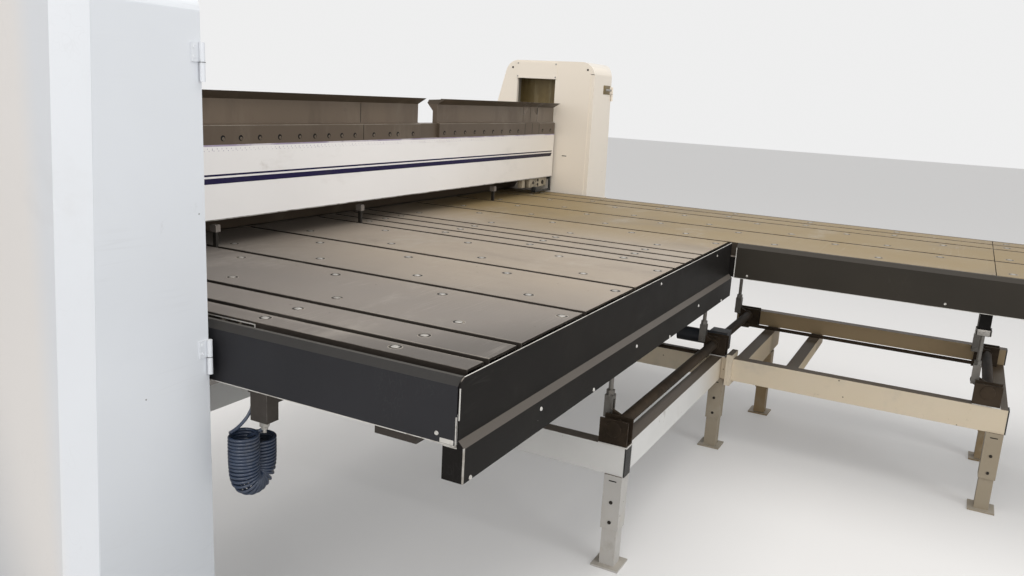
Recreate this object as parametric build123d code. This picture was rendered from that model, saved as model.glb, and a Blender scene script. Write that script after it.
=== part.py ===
from build123d import *
import os
from math import atan, cos, degrees, radians, sin, sqrt

# A folding machine for sheet metal: two side housings carry a turning clamping beam with
# two sets of tools and a folding beam in front of it; behind it lies a slotted gauge table
# with a side extension, which four-link levers lower evenly on a steel support frame.
# Millimetres. X runs along the fold, Y from the fold line towards the table, Z is up.

# Working area and table
TABLE_TOP = 950.0
WORK_LENGTH = 3150.0
END_CLEARANCE = 21.0
TABLE_DEPTH = 1620.0
TABLE_START = 78.0
EXTENSION_DEPTH = 3200.0
EXTENSION_JOINT = 2586.0
PLATE_THICKNESS = 6.0
RIB_DEPTH = 50.0
RIB_THICKNESS = 4.0
SLOT_WIDTH = 24.0
EDGE_SLOT_INSET = 139.0
OUTER_SLOT_INSET = 285.0
MIDDLE_SLOT_X = 926.0
INNER_SLOT_X = 553.0
CENTRE_SLOT_PITCH = 112.0
PLATE_EDGE_GAP = 62.0
FAR_EDGE_GAP = 22.0

# Side housings and frames
FRAME_PLATE = 20.0
HOUSING_WIDTH = 372.0
HOUSING_OVER_TABLE = 737.0
HOUSING_FRONT = 213.0
FRONT_SLOPE = 0.2766
NEAR_REAR = 994.0
FAR_REAR = 534.0
SIDE_LEAN = 0.042
HOUSING_SHEET = 3.0
CORNER_BEVEL = 48.0
FRONT_TOP_RADIUS = 80.0
REAR_TOP_RADIUS = 80.0
DOOR_BOTTOM = 60.0
DOOR_TOP_DROP = 66.0
DOOR_THICKNESS = 22.0
DOOR_GAP = 3.0
HINGE_RADIUS = 6.0
HINGE_PIN_RADIUS = 3.0
HINGE_LENGTH = 80.0
HINGE_SETBACK = 6.0
HINGE_TAB = 3.0
HINGE_LEAF = 24.0
UPPER_HINGE_DROP = 166.0
LOWER_HINGE_Z = 838.0
BASE_PLATE = 16.0
BASE_WIDTH = 280.0
BASE_DEPTH = 460.0
ANCHOR_RADIUS = 9.0
ANCHOR_MARGIN = 40.0

# Clamping beam, seen along its turning axis
AXIS_BEHIND_FOLD = 173.0
AXIS_OVER_TABLE = 211.0
BEAM_HALF_DEPTH = 146.0
COVER_HALF_HEIGHT = 121.0
COVER_SHEET = 4.0
BEAM_BOTTOM = 71.0
BEAM_WALL = 16.0
SHEET_GAP = 1.0
OPEN_STROKE = 40.0
TURN_LIFT = 300.0
LONG_TOOL_REACH = 293.0
TOOL_FLANGE = 14.0
TOOL_FLANGE_HEIGHT = 66.0
TOOL_WEB = 24.0
TOOL_SETBACK = 16.0
TOOL_GAP = 0.6
CORNER_CUT = 46.0
END_PLATE = 20.0
JOURNAL_RADIUS = 55.0
RUNNING_FIT = 0.06

# Lift carriages in the housings
GUIDE_WIDTH = 32.0
GUIDE_DEPTH = 30.0
SLIDE_GAP = 0.5
CARRIAGE_DEPTH = 70.0
CARRIAGE_WALL = 30.0
BEARING_HALF = 78.0
CYLINDER_RADIUS = 34.0
CYLINDER_WALL = 8.0
ROD_RADIUS = 18.0
SLOT_COVER_HEIGHT = 92.0
CYLINDER_FOOT = 45.0
CYLINDER_FOOT_PLATE = 20.0
CYLINDER_END = 30.0

# Folding beam
BLADE_TOP = 31.0
BLADE_DEPTH = 30.0
FOLD_BODY_REACH = 140.0
FOLD_BODY_DEPTH = 280.0
FOLD_WALL = 12.0
FOLD_ARM = 14.0
FOLD_JOURNAL_RADIUS = 25.0
FOLD_CLEARANCE = 2.0

# Lower beam and jaw
JAW_DEPTH = 70.0
JAW_HEIGHT = 25.0
LOWER_BEAM_FRONT = 15.0
LOWER_BEAM_REAR = 200.0
LOWER_BEAM_TOP = 840.0
LOWER_BEAM_BOTTOM = 600.0
LOWER_BEAM_WALL = 16.0

# Table frame, skirts and their sheet
RAIL_WIDTH = 50.0
RAIL_DEPTH = 82.0
SKIRT_SHEET = 3.0
SKIRT_HEIGHT = 140.0
REAR_SKIRT_UPPER = 126.0
REAR_SKIRT_LEDGE = 14.0
REAR_SKIRT_HEIGHT = 215.0
REAR_SKIRT_RETURN = 50.0
SKIRT_BEVEL = 15.0

# Support frame and legs
SUPPORT_TOP = 420.0
SUPPORT_DEPTH = 98.0
SUPPORT_WIDTH = 50.0
NEAR_BEAM_X = 483.0
MIDDLE_BEAM_X = -720.0
FAR_RAIL_INSET = 160.0
FAR_RAIL_DEPTH = 70.0
FAR_LEG_INSET = 285.0
TIE_BEAM_Y = 150.0
LEG_WIDTH = 60.0
LEG_WALL = 4.0
LEG_FIT = 0.5
LEG_BOTTOM = 134.0
FOOT_SIZE = 95.0
FOOT_PLATE = 6.0
LEG_BOLT_RADIUS = 6.0
FLANGE_PLATE = 12.0
CAP_THICKNESS = 5.0

# Table lowering linkage
SHAFT_RADIUS = 20.0
SHAFT_Z = 475.0
LEVER_LENGTH = 54.0
LEVER_SWING = 50.0
LEVER_THICKNESS = 12.0
LEVER_EYE = 17.0
PIN_RADIUS = 6.0
PIN_SLACK = 0.7
ARM_LENGTH = 38.0
ARM_EYE = 13.0
BRACKET_DEPTH = 96.0
BRACKET_HEIGHT = 86.0
BRACKET_WIDTH = 50.0
BRACKET_WALL = 6.0
FORK_WALL = 8.0
FORK_GAP = 1.0
LINK_ROD_RADIUS = 8.0
PULL_ROD_RADIUS = 8.0
NEAR_ROD_X = 428.0
MIDDLE_ROD_X = -668.0
FAR_ROD_INSET = 265.0
EXTENSION_ROD_X = -772.0
FRONT_PULL_X = -622.0
REAR_PULL_INSET = 313.0
DROP_TUBE = 42.0
DROP_LENGTH = 132.0
MOTOR_RADIUS = 32.0

# Back gauge
FINGER_Y = 297.0
FINGER_HEAD_TOP = 74.0
FINGER_HEAD_HEIGHT = 24.0
FINGER_HEAD_WIDTH = 20.0
FINGER_THICKNESS = 10.0
FINGER_DROP = 85.0
GAUGE_BAR_Y = 450.0
GAUGE_BAR_DEPTH = 50.0
GAUGE_BAR_HEIGHT = 70.0
GAUGE_AXIS_WIDTH = 50.0
GAUGE_AXIS_ROOM = 26.0
GAUGE_MOTOR_LENGTH = 110.0
GAUGE_MOTOR_HEIGHT = 60.0

# Air hose below the near side
HOSE_COIL_RADIUS = 37.0
HOSE_BEND = 38.0
HOSE_Y = 1043.0
HOSE_BELOW_RAIL = 112.0
HOSE_DROP = 144.0
HOSE_RADIUS = 4.0
AIR_BLOCK_WIDTH = 37.0
AIR_BLOCK_DEPTH = 50.0
AIR_BLOCK_HEIGHT = 78.0
FAR_BLOCK_DEPTH = 34.0
FAR_BLOCK_HEIGHT = 60.0
FITTING_RADIUS = 10.0
FITTING_HEIGHT = 16.0

# Tall tools along the beam
FIRST_JOINT = 180.0
GAP_START = -217.0
GAP_END = -368.0
CORNER_START = -1207.0
CORNER_END = -1374.0

# Low tool's section, behind and above its nose, and the bar that clamps the tall tools
LOW_TOOL_FRONT = ((0.0, 0.0), (48.0, 42.0), (48.0, 62.0))
LOW_TOOL_REAR = ((101.0, 50.0), (76.0, 6.0), (26.0, 3.0), (23.0, 0.0))
LOW_TOOL_SHOULDER = 85.0
LOW_TOOL_LEDGE = 90.0
CLAMP_BAR_WIDTH = 72.0

# Hydraulic unit and control cabinet in the near housing
TANK_WIDTH = 230.0
TANK_FRONT = 380.0
TANK_DOOR_ROOM = 70.0
TANK_TOP = 300.0
TANK_FEET = 20.0
TANK_FOOT_DEPTH = 40.0
PUMP_RADIUS = 85.0
PUMP_TOP = 560.0
PUMP_Y = 560.0
CABINET_WIDTH = 200.0
CABINET_FRONT = 480.0
CABINET_REAR = 860.0
CABINET_BELOW = 50.0
CABINET_ABOVE = 450.0

# Values worked out from the sizes above
half_work = WORK_LENGTH / 2
frame_in = half_work + END_CLEARANCE
frame_out = frame_in + FRAME_PLATE
housing_top = TABLE_TOP + HOUSING_OVER_TABLE
axis_z = TABLE_TOP + AXIS_OVER_TABLE
axis_y = AXIS_BEHIND_FOLD
rib_bottom = TABLE_TOP - PLATE_THICKNESS - RIB_DEPTH
rail_bottom = rib_bottom - RAIL_DEPTH
lever_rise = radians(LEVER_SWING / 2)
table_drop = 2 * LEVER_LENGTH * sin(lever_rise)
pin_ahead = LEVER_LENGTH * cos(lever_rise)
pin_z = SHAFT_Z + LEVER_LENGTH * sin(lever_rise)
front_rod_y = LOWER_BEAM_REAR + 40
rear_rod_y = TABLE_DEPTH - 93
extension_rod_y = EXTENSION_JOINT
skirt_y = TABLE_DEPTH + 23
near_skirt_x = half_work - 1
far_skirt_x = -half_work - 10
inner_skirt_x = -INNER_SLOT_X + 23
far_rail_x = FAR_RAIL_INSET - half_work
far_leg_x = FAR_LEG_INSET - half_work
far_rod_x = FAR_ROD_INSET - half_work
rear_pull_x = REAR_PULL_INSET - half_work
gauge_axis_x = near_skirt_x - SKIRT_SHEET - RAIL_WIDTH - GAUGE_AXIS_ROOM
front_rods = (NEAR_ROD_X, MIDDLE_ROD_X)
rear_rods = (NEAR_ROD_X, MIDDLE_ROD_X, far_rod_x)
extension_rods = (EXTENSION_ROD_X, far_rod_x)
hinge_heights = (housing_top - UPPER_HINGE_DROP - HINGE_LENGTH / 2, LOWER_HINGE_Z)
y_front = -HOUSING_FRONT
y_rear = EXTENSION_DEPTH + 20
origin_shift = Pos(0, -(y_front + y_rear) / 2, 0)
parts = {}


def box(x0, x1, y0, y1, z0, z1):
    """A block between six planes, given in any order."""
    xs, ys, zs = sorted((x0, x1)), sorted((y0, y1)), sorted((z0, z1))
    size = (xs[1] - xs[0], ys[1] - ys[0], zs[1] - zs[0])
    return Pos(sum(xs) / 2, sum(ys) / 2, sum(zs) / 2) * Box(*size)


def rod_x(x0, x1, y, z, radius):
    """A round bar along X."""
    return Pos((x0 + x1) / 2, y, z) * Rot(0, 90, 0) * Cylinder(radius, abs(x1 - x0))


def rod_y(y0, y1, x, z, radius):
    """A round bar along Y."""
    return Pos(x, (y0 + y1) / 2, z) * Rot(90, 0, 0) * Cylinder(radius, abs(y1 - y0))


def rod_z(z0, z1, x, y, radius):
    """A round bar along Z."""
    return Pos(x, y, (z0 + z1) / 2) * Cylinder(radius, abs(z1 - z0))


def outline(points):
    """A flat face inside a closed line through the points."""
    return make_face(Polyline(*points, close=True))


def draw_out(face, length, direction):
    """A face drawn out along a direction, whichever way the face looks."""
    face = face.faces()[0]
    if face.normal_at().dot(Vector(*direction)) < 0:
        face = -face
    return extrude(face, length, dir=direction)


def profile_x(points, x0, x1):
    """A section given as (Y, Z) points, drawn out along X."""
    low, high = sorted((x0, x1))
    return draw_out(outline([(low, y, z) for y, z in points]), high - low, (1, 0, 0))


def profile_y(points, y0, y1):
    """A section given as (X, Z) points, drawn out along Y."""
    return draw_out(outline([(x, y0, z) for x, z in points]), y1 - y0, (0, 1, 0))


def beam_section(points, x0, x1):
    """A section given from the clamping beam's axis, drawn out along X."""
    return profile_x([(axis_y + u, axis_z + v) for u, v in points], x0, x1)


def node(name, *solids):
    """Keep one named sub-part, made of one or more separate solids."""
    flat = []
    for solid in solids:
        flat.extend(solid.solids())
    parts[name] = flat


def housing_block(side, rear, inset, bottom):
    """The solid outer form of a side housing, with its walls drawn in by inset."""
    slope_move = inset * sqrt(1 + FRONT_SLOPE**2)
    front = -HOUSING_FRONT
    top = housing_top - inset
    bend_z = TABLE_TOP + (inset - slope_move) / FRONT_SLOPE
    top_front = front + FRONT_SLOPE * (top - TABLE_TOP) + slope_move
    side_view = [
        (front + inset, bottom),
        (front + inset, bend_z),
        (top_front, top),
        (rear - inset, top),
        (rear - inset, bottom),
    ]
    x_in = side * frame_out
    x_far = side * (frame_in + HOUSING_WIDTH + 10)
    face = outline([(x_in, y, z) for y, z in side_view])
    corners = face.vertices().sort_by(Axis.Z)[-2:].sort_by(Axis.Y)
    face = fillet(corners[0], FRONT_TOP_RADIUS - inset)
    corner = face.vertices().sort_by(lambda v: -(v.Y + v.Z))[0]
    face = fillet(corner, REAR_TOP_RADIUS - inset)
    side_form = draw_out(face, abs(x_far - x_in), (side, 0, 0))
    lean_move = inset * sqrt(1 + SIDE_LEAN**2)
    outer = frame_in + HOUSING_WIDTH - lean_move - SIDE_LEAN * bottom
    bevel = CORNER_BEVEL - inset * (2 - sqrt(2))
    plan = [
        (frame_in - 300, front - 10),
        (outer, front - 10),
        (outer, rear - inset - bevel),
        (outer - bevel, rear - inset),
        (frame_in - 300, rear - inset),
    ]
    ground = outline([(side * x, y, bottom) for x, y in plan])
    rise = (housing_top + 10 - bottom) * sqrt(1 + SIDE_LEAN**2)
    lean_form = draw_out(ground, rise, (-side * SIDE_LEAN, 0, 1))
    return side_form & lean_form


def door_block(side, rear, gap, thickness):
    """The space of a rear door: upright at the frame, leaning with the outer wall."""
    outer = frame_in + HOUSING_WIDTH - CORNER_BEVEL - DOOR_GAP + gap
    bottom, top = DOOR_BOTTOM - gap, housing_top - DOOR_TOP_DROP + gap
    plan = [
        (frame_in - 300, rear - thickness),
        (outer, rear - thickness),
        (outer, rear),
        (frame_in - 300, rear),
    ]
    ground = outline([(side * x, y, 0) for x, y in plan])
    rise = (housing_top + 10) * sqrt(1 + SIDE_LEAN**2)
    leaning = draw_out(ground, rise, (-side * SIDE_LEAN, 0, 1))
    inner = side * (frame_in + DOOR_GAP - gap)
    limit = side * (frame_in + HOUSING_WIDTH)
    return leaning & box(inner, limit, rear - thickness, rear, bottom, top)


def side_frame(side, rear):
    """The thick plate behind a housing's inner face, with the slot for the beam's journal."""
    blank = housing_block(side, rear, 0, 0)
    x_in, x_out = side * frame_in, side * frame_out
    inner_face = blank.faces().sort_by(Axis.X)[0 if side > 0 else -1]
    plate = draw_out(inner_face, FRAME_PLATE, (-side, 0, 0))
    slot_half = AXIS_BEHIND_FOLD - 51
    slot = box(x_in - side, x_out + side, axis_y - slot_half, axis_y + slot_half,
               TABLE_TOP + 70, housing_top - 16)
    bore = rod_x(x_in - side, x_out + side, 0, TABLE_TOP, FOLD_JOURNAL_RADIUS + RUNNING_FIT)
    behind_door = box(x_in - side, x_out + side, rear - DOOR_THICKNESS - DOOR_GAP, rear + 1,
                      DOOR_BOTTOM - DOOR_GAP, housing_top - DOOR_TOP_DROP + DOOR_GAP)
    plate = plate - slot - bore - behind_door
    base_x = x_out + side * BASE_WIDTH
    base_front = -HOUSING_FRONT + 13
    base = box(x_out, base_x, base_front, base_front + BASE_DEPTH, 0, BASE_PLATE)
    for x in (x_out + side * ANCHOR_MARGIN, base_x - side * ANCHOR_MARGIN):
        for y in (base_front + ANCHOR_MARGIN, base_front + BASE_DEPTH - ANCHOR_MARGIN):
            base = base - rod_z(-1, BASE_PLATE + 1, x, y, ANCHOR_RADIUS)
    return plate + base


def housing_shell(side, rear):
    """The folded sheet housing: front, top, leaning outer side, bevelled rear corner."""
    outside = housing_block(side, rear, 0, 0)
    inside = housing_block(side, rear, HOUSING_SHEET, -20)
    shell = outside - inside
    doorway = door_block(side, rear + 1, DOOR_GAP, 40)
    return shell - doorway


def rear_door(side, rear):
    """A pan-shaped door with its turned-in edges and two hinge barrels."""
    outer = door_block(side, rear, 0, DOOR_THICKNESS)
    bounds = outer.bounding_box()
    x_near, x_far = sorted((side * bounds.min.X, side * bounds.max.X))
    top = housing_top - DOOR_TOP_DROP
    wall = HOUSING_SHEET
    lean_top = SIDE_LEAN * top
    hollow = profile_z_lean(side, x_near + wall, x_far - wall, rear, wall, top, lean_top)
    pan = outer - hollow
    half, length, r = HINGE_LENGTH / 2, HINGE_LENGTH, HINGE_RADIUS
    for z in hinge_heights:
        leaf = box(0, HINGE_LEAF, -r - 1, -r - 1 + HINGE_TAB, half, length)
        barrel = rod_z(half, length, 0, 0, r)
        bore = rod_z(-1, length + 1, 0, 0, HINGE_PIN_RADIUS + RUNNING_FIT)
        pan = pan + hinge_place(side, rear, z) * (leaf + barrel - bore)
    return pan


def hinge_place(side, rear, z):
    """Where a hinge sits: upright at the near frame, leaning with the far outer wall."""
    if side > 0:
        return Pos(frame_in + HINGE_SETBACK, rear + HINGE_RADIUS + 1, z)
    edge = frame_in + HOUSING_WIDTH - CORNER_BEVEL - SIDE_LEAN * z
    return Pos(-edge, rear + HINGE_RADIUS + 1, z) * Rot(0, degrees(atan(SIDE_LEAN)), 0)


def stand_leaf(side, rear, z):
    """The fixed half of a door hinge with its pin, on the frame or on the bevel."""
    half, r = HINGE_LENGTH / 2 - 0.5, HINGE_RADIUS
    barrel = rod_z(0, half, 0, 0, r)
    pin = rod_z(0, HINGE_LENGTH - 1, 0, 0, HINGE_PIN_RADIUS)
    place = hinge_place(side, rear, z)
    if side > 0:
        tab_x = -HINGE_SETBACK
        web_y = -r + 1 + HINGE_TAB
        tab = box(tab_x - HINGE_TAB, tab_x, -r - 1 - DOOR_THICKNESS - 40, web_y, 0, half)
        web = box(tab_x - HINGE_TAB, 0, web_y - HINGE_TAB, web_y, 0, half)
        return place * (tab + web + barrel + pin)
    leaf = box(-HINGE_LEAF, 0, -HINGE_TAB, 0, 0, half)
    return place * (Pos(0, -r - 1, 0) * Rot(0, 0, 45) * Pos(0, HINGE_TAB, 0) * leaf + barrel + pin)


def profile_z_lean(side, x_near, x_far, rear, wall, top, lean_top):
    """The hollow of a door pan, leaning with its outer edge."""
    y0, y1 = rear - DOOR_THICKNESS - 1, rear - wall
    z0, z1 = DOOR_BOTTOM + wall, top - wall
    points = [
        (side * x_near, z0),
        (side * (x_far + SIDE_LEAN * (DOOR_BOTTOM - z0)), z0),
        (side * (x_far + SIDE_LEAN * (DOOR_BOTTOM - z1)), z1),
        (side * x_near, z1),
    ]
    return profile_y(points, y0, y1)


def make_housings():
    """Both side frames, their housings, doors, hinges and slot covers."""
    covers, hinges = [], []
    for name, side, rear in (("near", 1, NEAR_REAR), ("far", -1, FAR_REAR)):
        node(name + "_side_frame", side_frame(side, rear))
        node(name + "_housing", housing_shell(side, rear))
        node(name + "_door", rear_door(side, rear))
        hinges.extend(stand_leaf(side, rear, z) for z in hinge_heights)
        slot_half = AXIS_BEHIND_FOLD - 51
        top = housing_top - 8
        covers.append(box(side * frame_in, side * (frame_in - 3), axis_y - slot_half - 8,
                          axis_y + slot_half + 8, top - SLOT_COVER_HEIGHT, top))
    node("slot_covers", *covers)
    node("door_hinges", *hinges)


def make_lower_beam():
    """The fixed lower beam and the jaw that the sheet is clamped on."""
    x = frame_in
    shell = box(-x, x, LOWER_BEAM_FRONT, LOWER_BEAM_REAR, LOWER_BEAM_BOTTOM, LOWER_BEAM_TOP)
    w = LOWER_BEAM_WALL
    hollow = box(-x - 1, x + 1, LOWER_BEAM_FRONT + w, LOWER_BEAM_REAR - w,
                 LOWER_BEAM_BOTTOM + w, LOWER_BEAM_TOP - w)
    seat = box(-half_work, half_work, LOWER_BEAM_FRONT, JAW_DEPTH - 5,
               LOWER_BEAM_TOP, TABLE_TOP - JAW_HEIGHT)
    node("lower_beam", (shell - hollow) + seat)
    jaw = [
        (0, TABLE_TOP),
        (JAW_DEPTH, TABLE_TOP),
        (JAW_DEPTH, TABLE_TOP - JAW_HEIGHT),
        (LOWER_BEAM_FRONT, TABLE_TOP - JAW_HEIGHT),
        (0, TABLE_TOP - JAW_HEIGHT + LOWER_BEAM_FRONT),
    ]
    node("lower_jaw", profile_x(jaw, -half_work, half_work))


def long_tool_points():
    """Section of the tall tool: bolted flange, web set back, foot with a sharp nose."""
    seat = BEAM_HALF_DEPTH - TOOL_FLANGE
    base = COVER_HALF_HEIGHT - COVER_SHEET
    web_out = BEAM_HALF_DEPTH - TOOL_SETBACK
    web_in = web_out - TOOL_WEB
    ledge = base + TOOL_FLANGE_HEIGHT
    nose = AXIS_BEHIND_FOLD
    reach = LONG_TOOL_REACH
    return [
        (seat, COVER_HALF_HEIGHT),
        (BEAM_HALF_DEPTH, COVER_HALF_HEIGHT),
        (BEAM_HALF_DEPTH, ledge),
        (web_out, ledge + 6),
        (web_out, reach - 26),
        (nose, reach),
        (nose - 25, reach),
        (nose - 28, reach - 3),
        (web_in - 22, reach - 7),
        (web_in - 30, reach - 21),
        (web_in, reach - 55),
        (web_in, ledge),
        (seat, ledge),
    ]


def low_tool_sections():
    """Sections of the low tool's nose and of the holder that it is screwed under."""
    nose = -AXIS_BEHIND_FOLD + 2
    reach = -(AXIS_OVER_TABLE - SHEET_GAP)
    front = -BEAM_HALF_DEPTH
    tip, knee, shelf = LOW_TOOL_FRONT
    high, low = LOW_TOOL_REAR[:2]
    joint = high[0] - (high[0] - low[0]) * (high[1] - knee[1]) / (high[1] - low[1])
    blade = [tip, knee, (joint, knee[1]), *LOW_TOOL_REAR[1:]]
    holder = [
        (nose + knee[0], reach + knee[1]),
        (nose + shelf[0], reach + shelf[1]),
        (front, reach + LOW_TOOL_SHOULDER),
        (front, reach + LOW_TOOL_LEDGE),
        (front + COVER_SHEET, reach + LOW_TOOL_LEDGE),
        (front + COVER_SHEET, -BEAM_BOTTOM),
        (nose + high[0], -BEAM_BOTTOM),
        (nose + high[0], reach + high[1]),
        (nose + joint, reach + knee[1]),
    ]
    return [(nose + u, reach + v) for u, v in blade], holder


def make_clamping_beam():
    """The turning beam: box, covers, end plates with journals, and both sets of tools."""
    inner = BEAM_HALF_DEPTH - COVER_SHEET
    top = COVER_HALF_HEIGHT - COVER_SHEET
    w = BEAM_WALL
    x = half_work - END_PLATE
    ring = [(-inner, -BEAM_BOTTOM), (inner, -BEAM_BOTTOM), (inner, top), (-inner, top)]
    core = [(-inner + w, -BEAM_BOTTOM + w), (inner - w, -BEAM_BOTTOM + w),
            (inner - w, top - w), (-inner + w, top - w)]
    node("clamping_beam_box", beam_section(ring, -x, x) - beam_section(core, -x - 1, x + 1))
    ends = []
    for side in (1, -1):
        plate = beam_section(ring, side * x, side * half_work)
        journal = rod_x(side * half_work, side * (frame_out + SLIDE_GAP + CARRIAGE_DEPTH + 10),
                        axis_y, axis_z, JOURNAL_RADIUS)
        ends.append(plate + journal)
    node("beam_journals", *ends)
    cover = [
        (inner, -COVER_HALF_HEIGHT),
        (BEAM_HALF_DEPTH, -COVER_HALF_HEIGHT),
        (BEAM_HALF_DEPTH, COVER_HALF_HEIGHT),
        (inner - 24, COVER_HALF_HEIGHT),
        (inner - 24, top),
        (inner, top),
    ]
    seat = BEAM_HALF_DEPTH - TOOL_FLANGE
    cover = [(u if u > seat else seat, v) for u, v in cover]
    node("rear_beam_cover", beam_section(cover, -half_work, half_work))
    low = -(AXIS_OVER_TABLE - SHEET_GAP) + LOW_TOOL_LEDGE
    front_cover = [
        (-inner, low),
        (-BEAM_HALF_DEPTH, low),
        (-BEAM_HALF_DEPTH, COVER_HALF_HEIGHT),
        (-inner + 24, COVER_HALF_HEIGHT),
        (-inner + 24, top),
        (-inner, top),
    ]
    node("front_beam_cover", beam_section(front_cover, -half_work, half_work))
    bar_front, bar_top = seat - CLAMP_BAR_WIDTH, top + TOOL_FLANGE_HEIGHT
    bar = [(bar_front, top), (seat, top), (seat, bar_top), (bar_front, bar_top)]
    node("tool_clamp_bar", beam_section(bar, -half_work, half_work))
    node("low_tool", *[beam_section(points, -half_work, half_work) for points in low_tool_sections()])


def make_tall_tools():
    """The tall tools as separate lengths side by side; one place is left empty."""
    points = long_tool_points()
    straight = [(half_work, FIRST_JOINT), (FIRST_JOINT, GAP_START), (GAP_END, CORNER_START),
                (CORNER_END, -half_work)]
    half_gap = TOOL_GAP / 2
    lengths = [beam_section(points, a - half_gap, b + half_gap) for a, b in straight]
    middle = (CORNER_START + CORNER_END) / 2
    for a, b, cut_side in ((CORNER_START, middle, 1), (middle, CORNER_END, -1)):
        blank = beam_section(points, a - half_gap, b + half_gap)
        x_cut = a if cut_side > 0 else b
        relief = rod_y(axis_y - 200, axis_y + 200, x_cut, axis_z + LONG_TOOL_REACH - 20, CORNER_CUT)
        lengths.append(blank - relief)
    node("tall_tools", *lengths)


def make_carriages():
    """Guide rails, lift cylinders and the two carriages with their bearing blocks."""
    guides, cylinders, carriages, rods, clamps, blocks, clamp_rods = [], [], [], [], [], [], []
    slot_half = AXIS_BEHIND_FOLD - 51
    for side in (1, -1):
        x0 = side * frame_out
        x1 = side * (frame_out + GUIDE_DEPTH)
        for sign in (1, -1):
            y = axis_y + sign * (slot_half + 16)
            guides.append(box(x0, x1, y - GUIDE_WIDTH / 2, y + GUIDE_WIDTH / 2,
                              TABLE_TOP + 68, housing_top - 30))
        half_y = slot_half - SLIDE_GAP
        c0 = side * (frame_out + SLIDE_GAP)
        c1 = side * (frame_out + SLIDE_GAP + CARRIAGE_DEPTH)
        cx = (c0 + c1) / 2
        low = axis_z - BEARING_HALF - SLIDE_GAP - CARRIAGE_WALL
        high = axis_z + BEARING_HALF + OPEN_STROKE + SLIDE_GAP + CARRIAGE_WALL
        window_y = BEARING_HALF + SLIDE_GAP
        carriage = box(c0, c1, axis_y - half_y, axis_y + half_y, low, high)
        window = box(c0 - side, c1 + side, axis_y - window_y, axis_y + window_y,
                     low + CARRIAGE_WALL, high - CARRIAGE_WALL)
        passage = rod_z(high - CARRIAGE_WALL - 1, high + 1, cx, axis_y, ROD_RADIUS + RUNNING_FIT)
        carriages.append(carriage - window - passage)
        block = box(c0, c1, axis_y - BEARING_HALF, axis_y + BEARING_HALF,
                    axis_z - BEARING_HALF, axis_z + BEARING_HALF)
        bore = rod_x(c0 - side, c1 + side, axis_y, axis_z, JOURNAL_RADIUS + RUNNING_FIT)
        blocks.append(block - bore)
        rod_top = high + 12
        clamp_top = rod_top + OPEN_STROKE + 2 + CYLINDER_WALL
        clamp = rod_z(high, clamp_top, cx, axis_y, CYLINDER_RADIUS - 6)
        clamp = clamp - rod_z(high - 1, clamp_top - CYLINDER_WALL, cx, axis_y, ROD_RADIUS + RUNNING_FIT)
        clamps.append(clamp)
        clamp_rods.append(rod_z(axis_z + BEARING_HALF, rod_top, cx, axis_y, ROD_RADIUS))
        rod_low = low - TURN_LIFT - 40
        cylinder_top = low - 12
        cylinder_low = rod_low - CYLINDER_END
        tube = rod_z(cylinder_low, cylinder_top, cx, axis_y, CYLINDER_RADIUS)
        tube = tube - rod_z(rod_low - CYLINDER_END / 2, cylinder_top + 1, cx, axis_y,
                            ROD_RADIUS + RUNNING_FIT)
        reach = CYLINDER_FOOT
        foot = box(x0, cx + side * reach, axis_y - reach, axis_y + reach,
                   cylinder_low - CYLINDER_FOOT_PLATE, cylinder_low)
        cylinders.append(tube + foot)
        rods.append(rod_z(rod_low, low, cx, axis_y, ROD_RADIUS))
    node("guide_rails", *guides)
    node("lift_cylinders", *cylinders)
    node("lift_carriages", *carriages)
    node("lift_piston_rods", *rods)
    node("clamp_cylinders", *clamps)
    node("bearing_blocks", *blocks)
    node("clamp_piston_rods", *clamp_rods)


def make_turn_drive():
    """The gear motor that turns the clamping beam, on the near bearing block."""
    face = frame_out + SLIDE_GAP + CARRIAGE_DEPTH
    gearbox = rod_x(face, face + 100, axis_y, axis_z, 74)
    bore = rod_x(face - 1, face + 12, axis_y, axis_z, JOURNAL_RADIUS + RUNNING_FIT)
    motor = rod_x(face + 100, face + 180, axis_y, axis_z, 46)
    node("turn_drive", gearbox - bore + motor)


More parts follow.
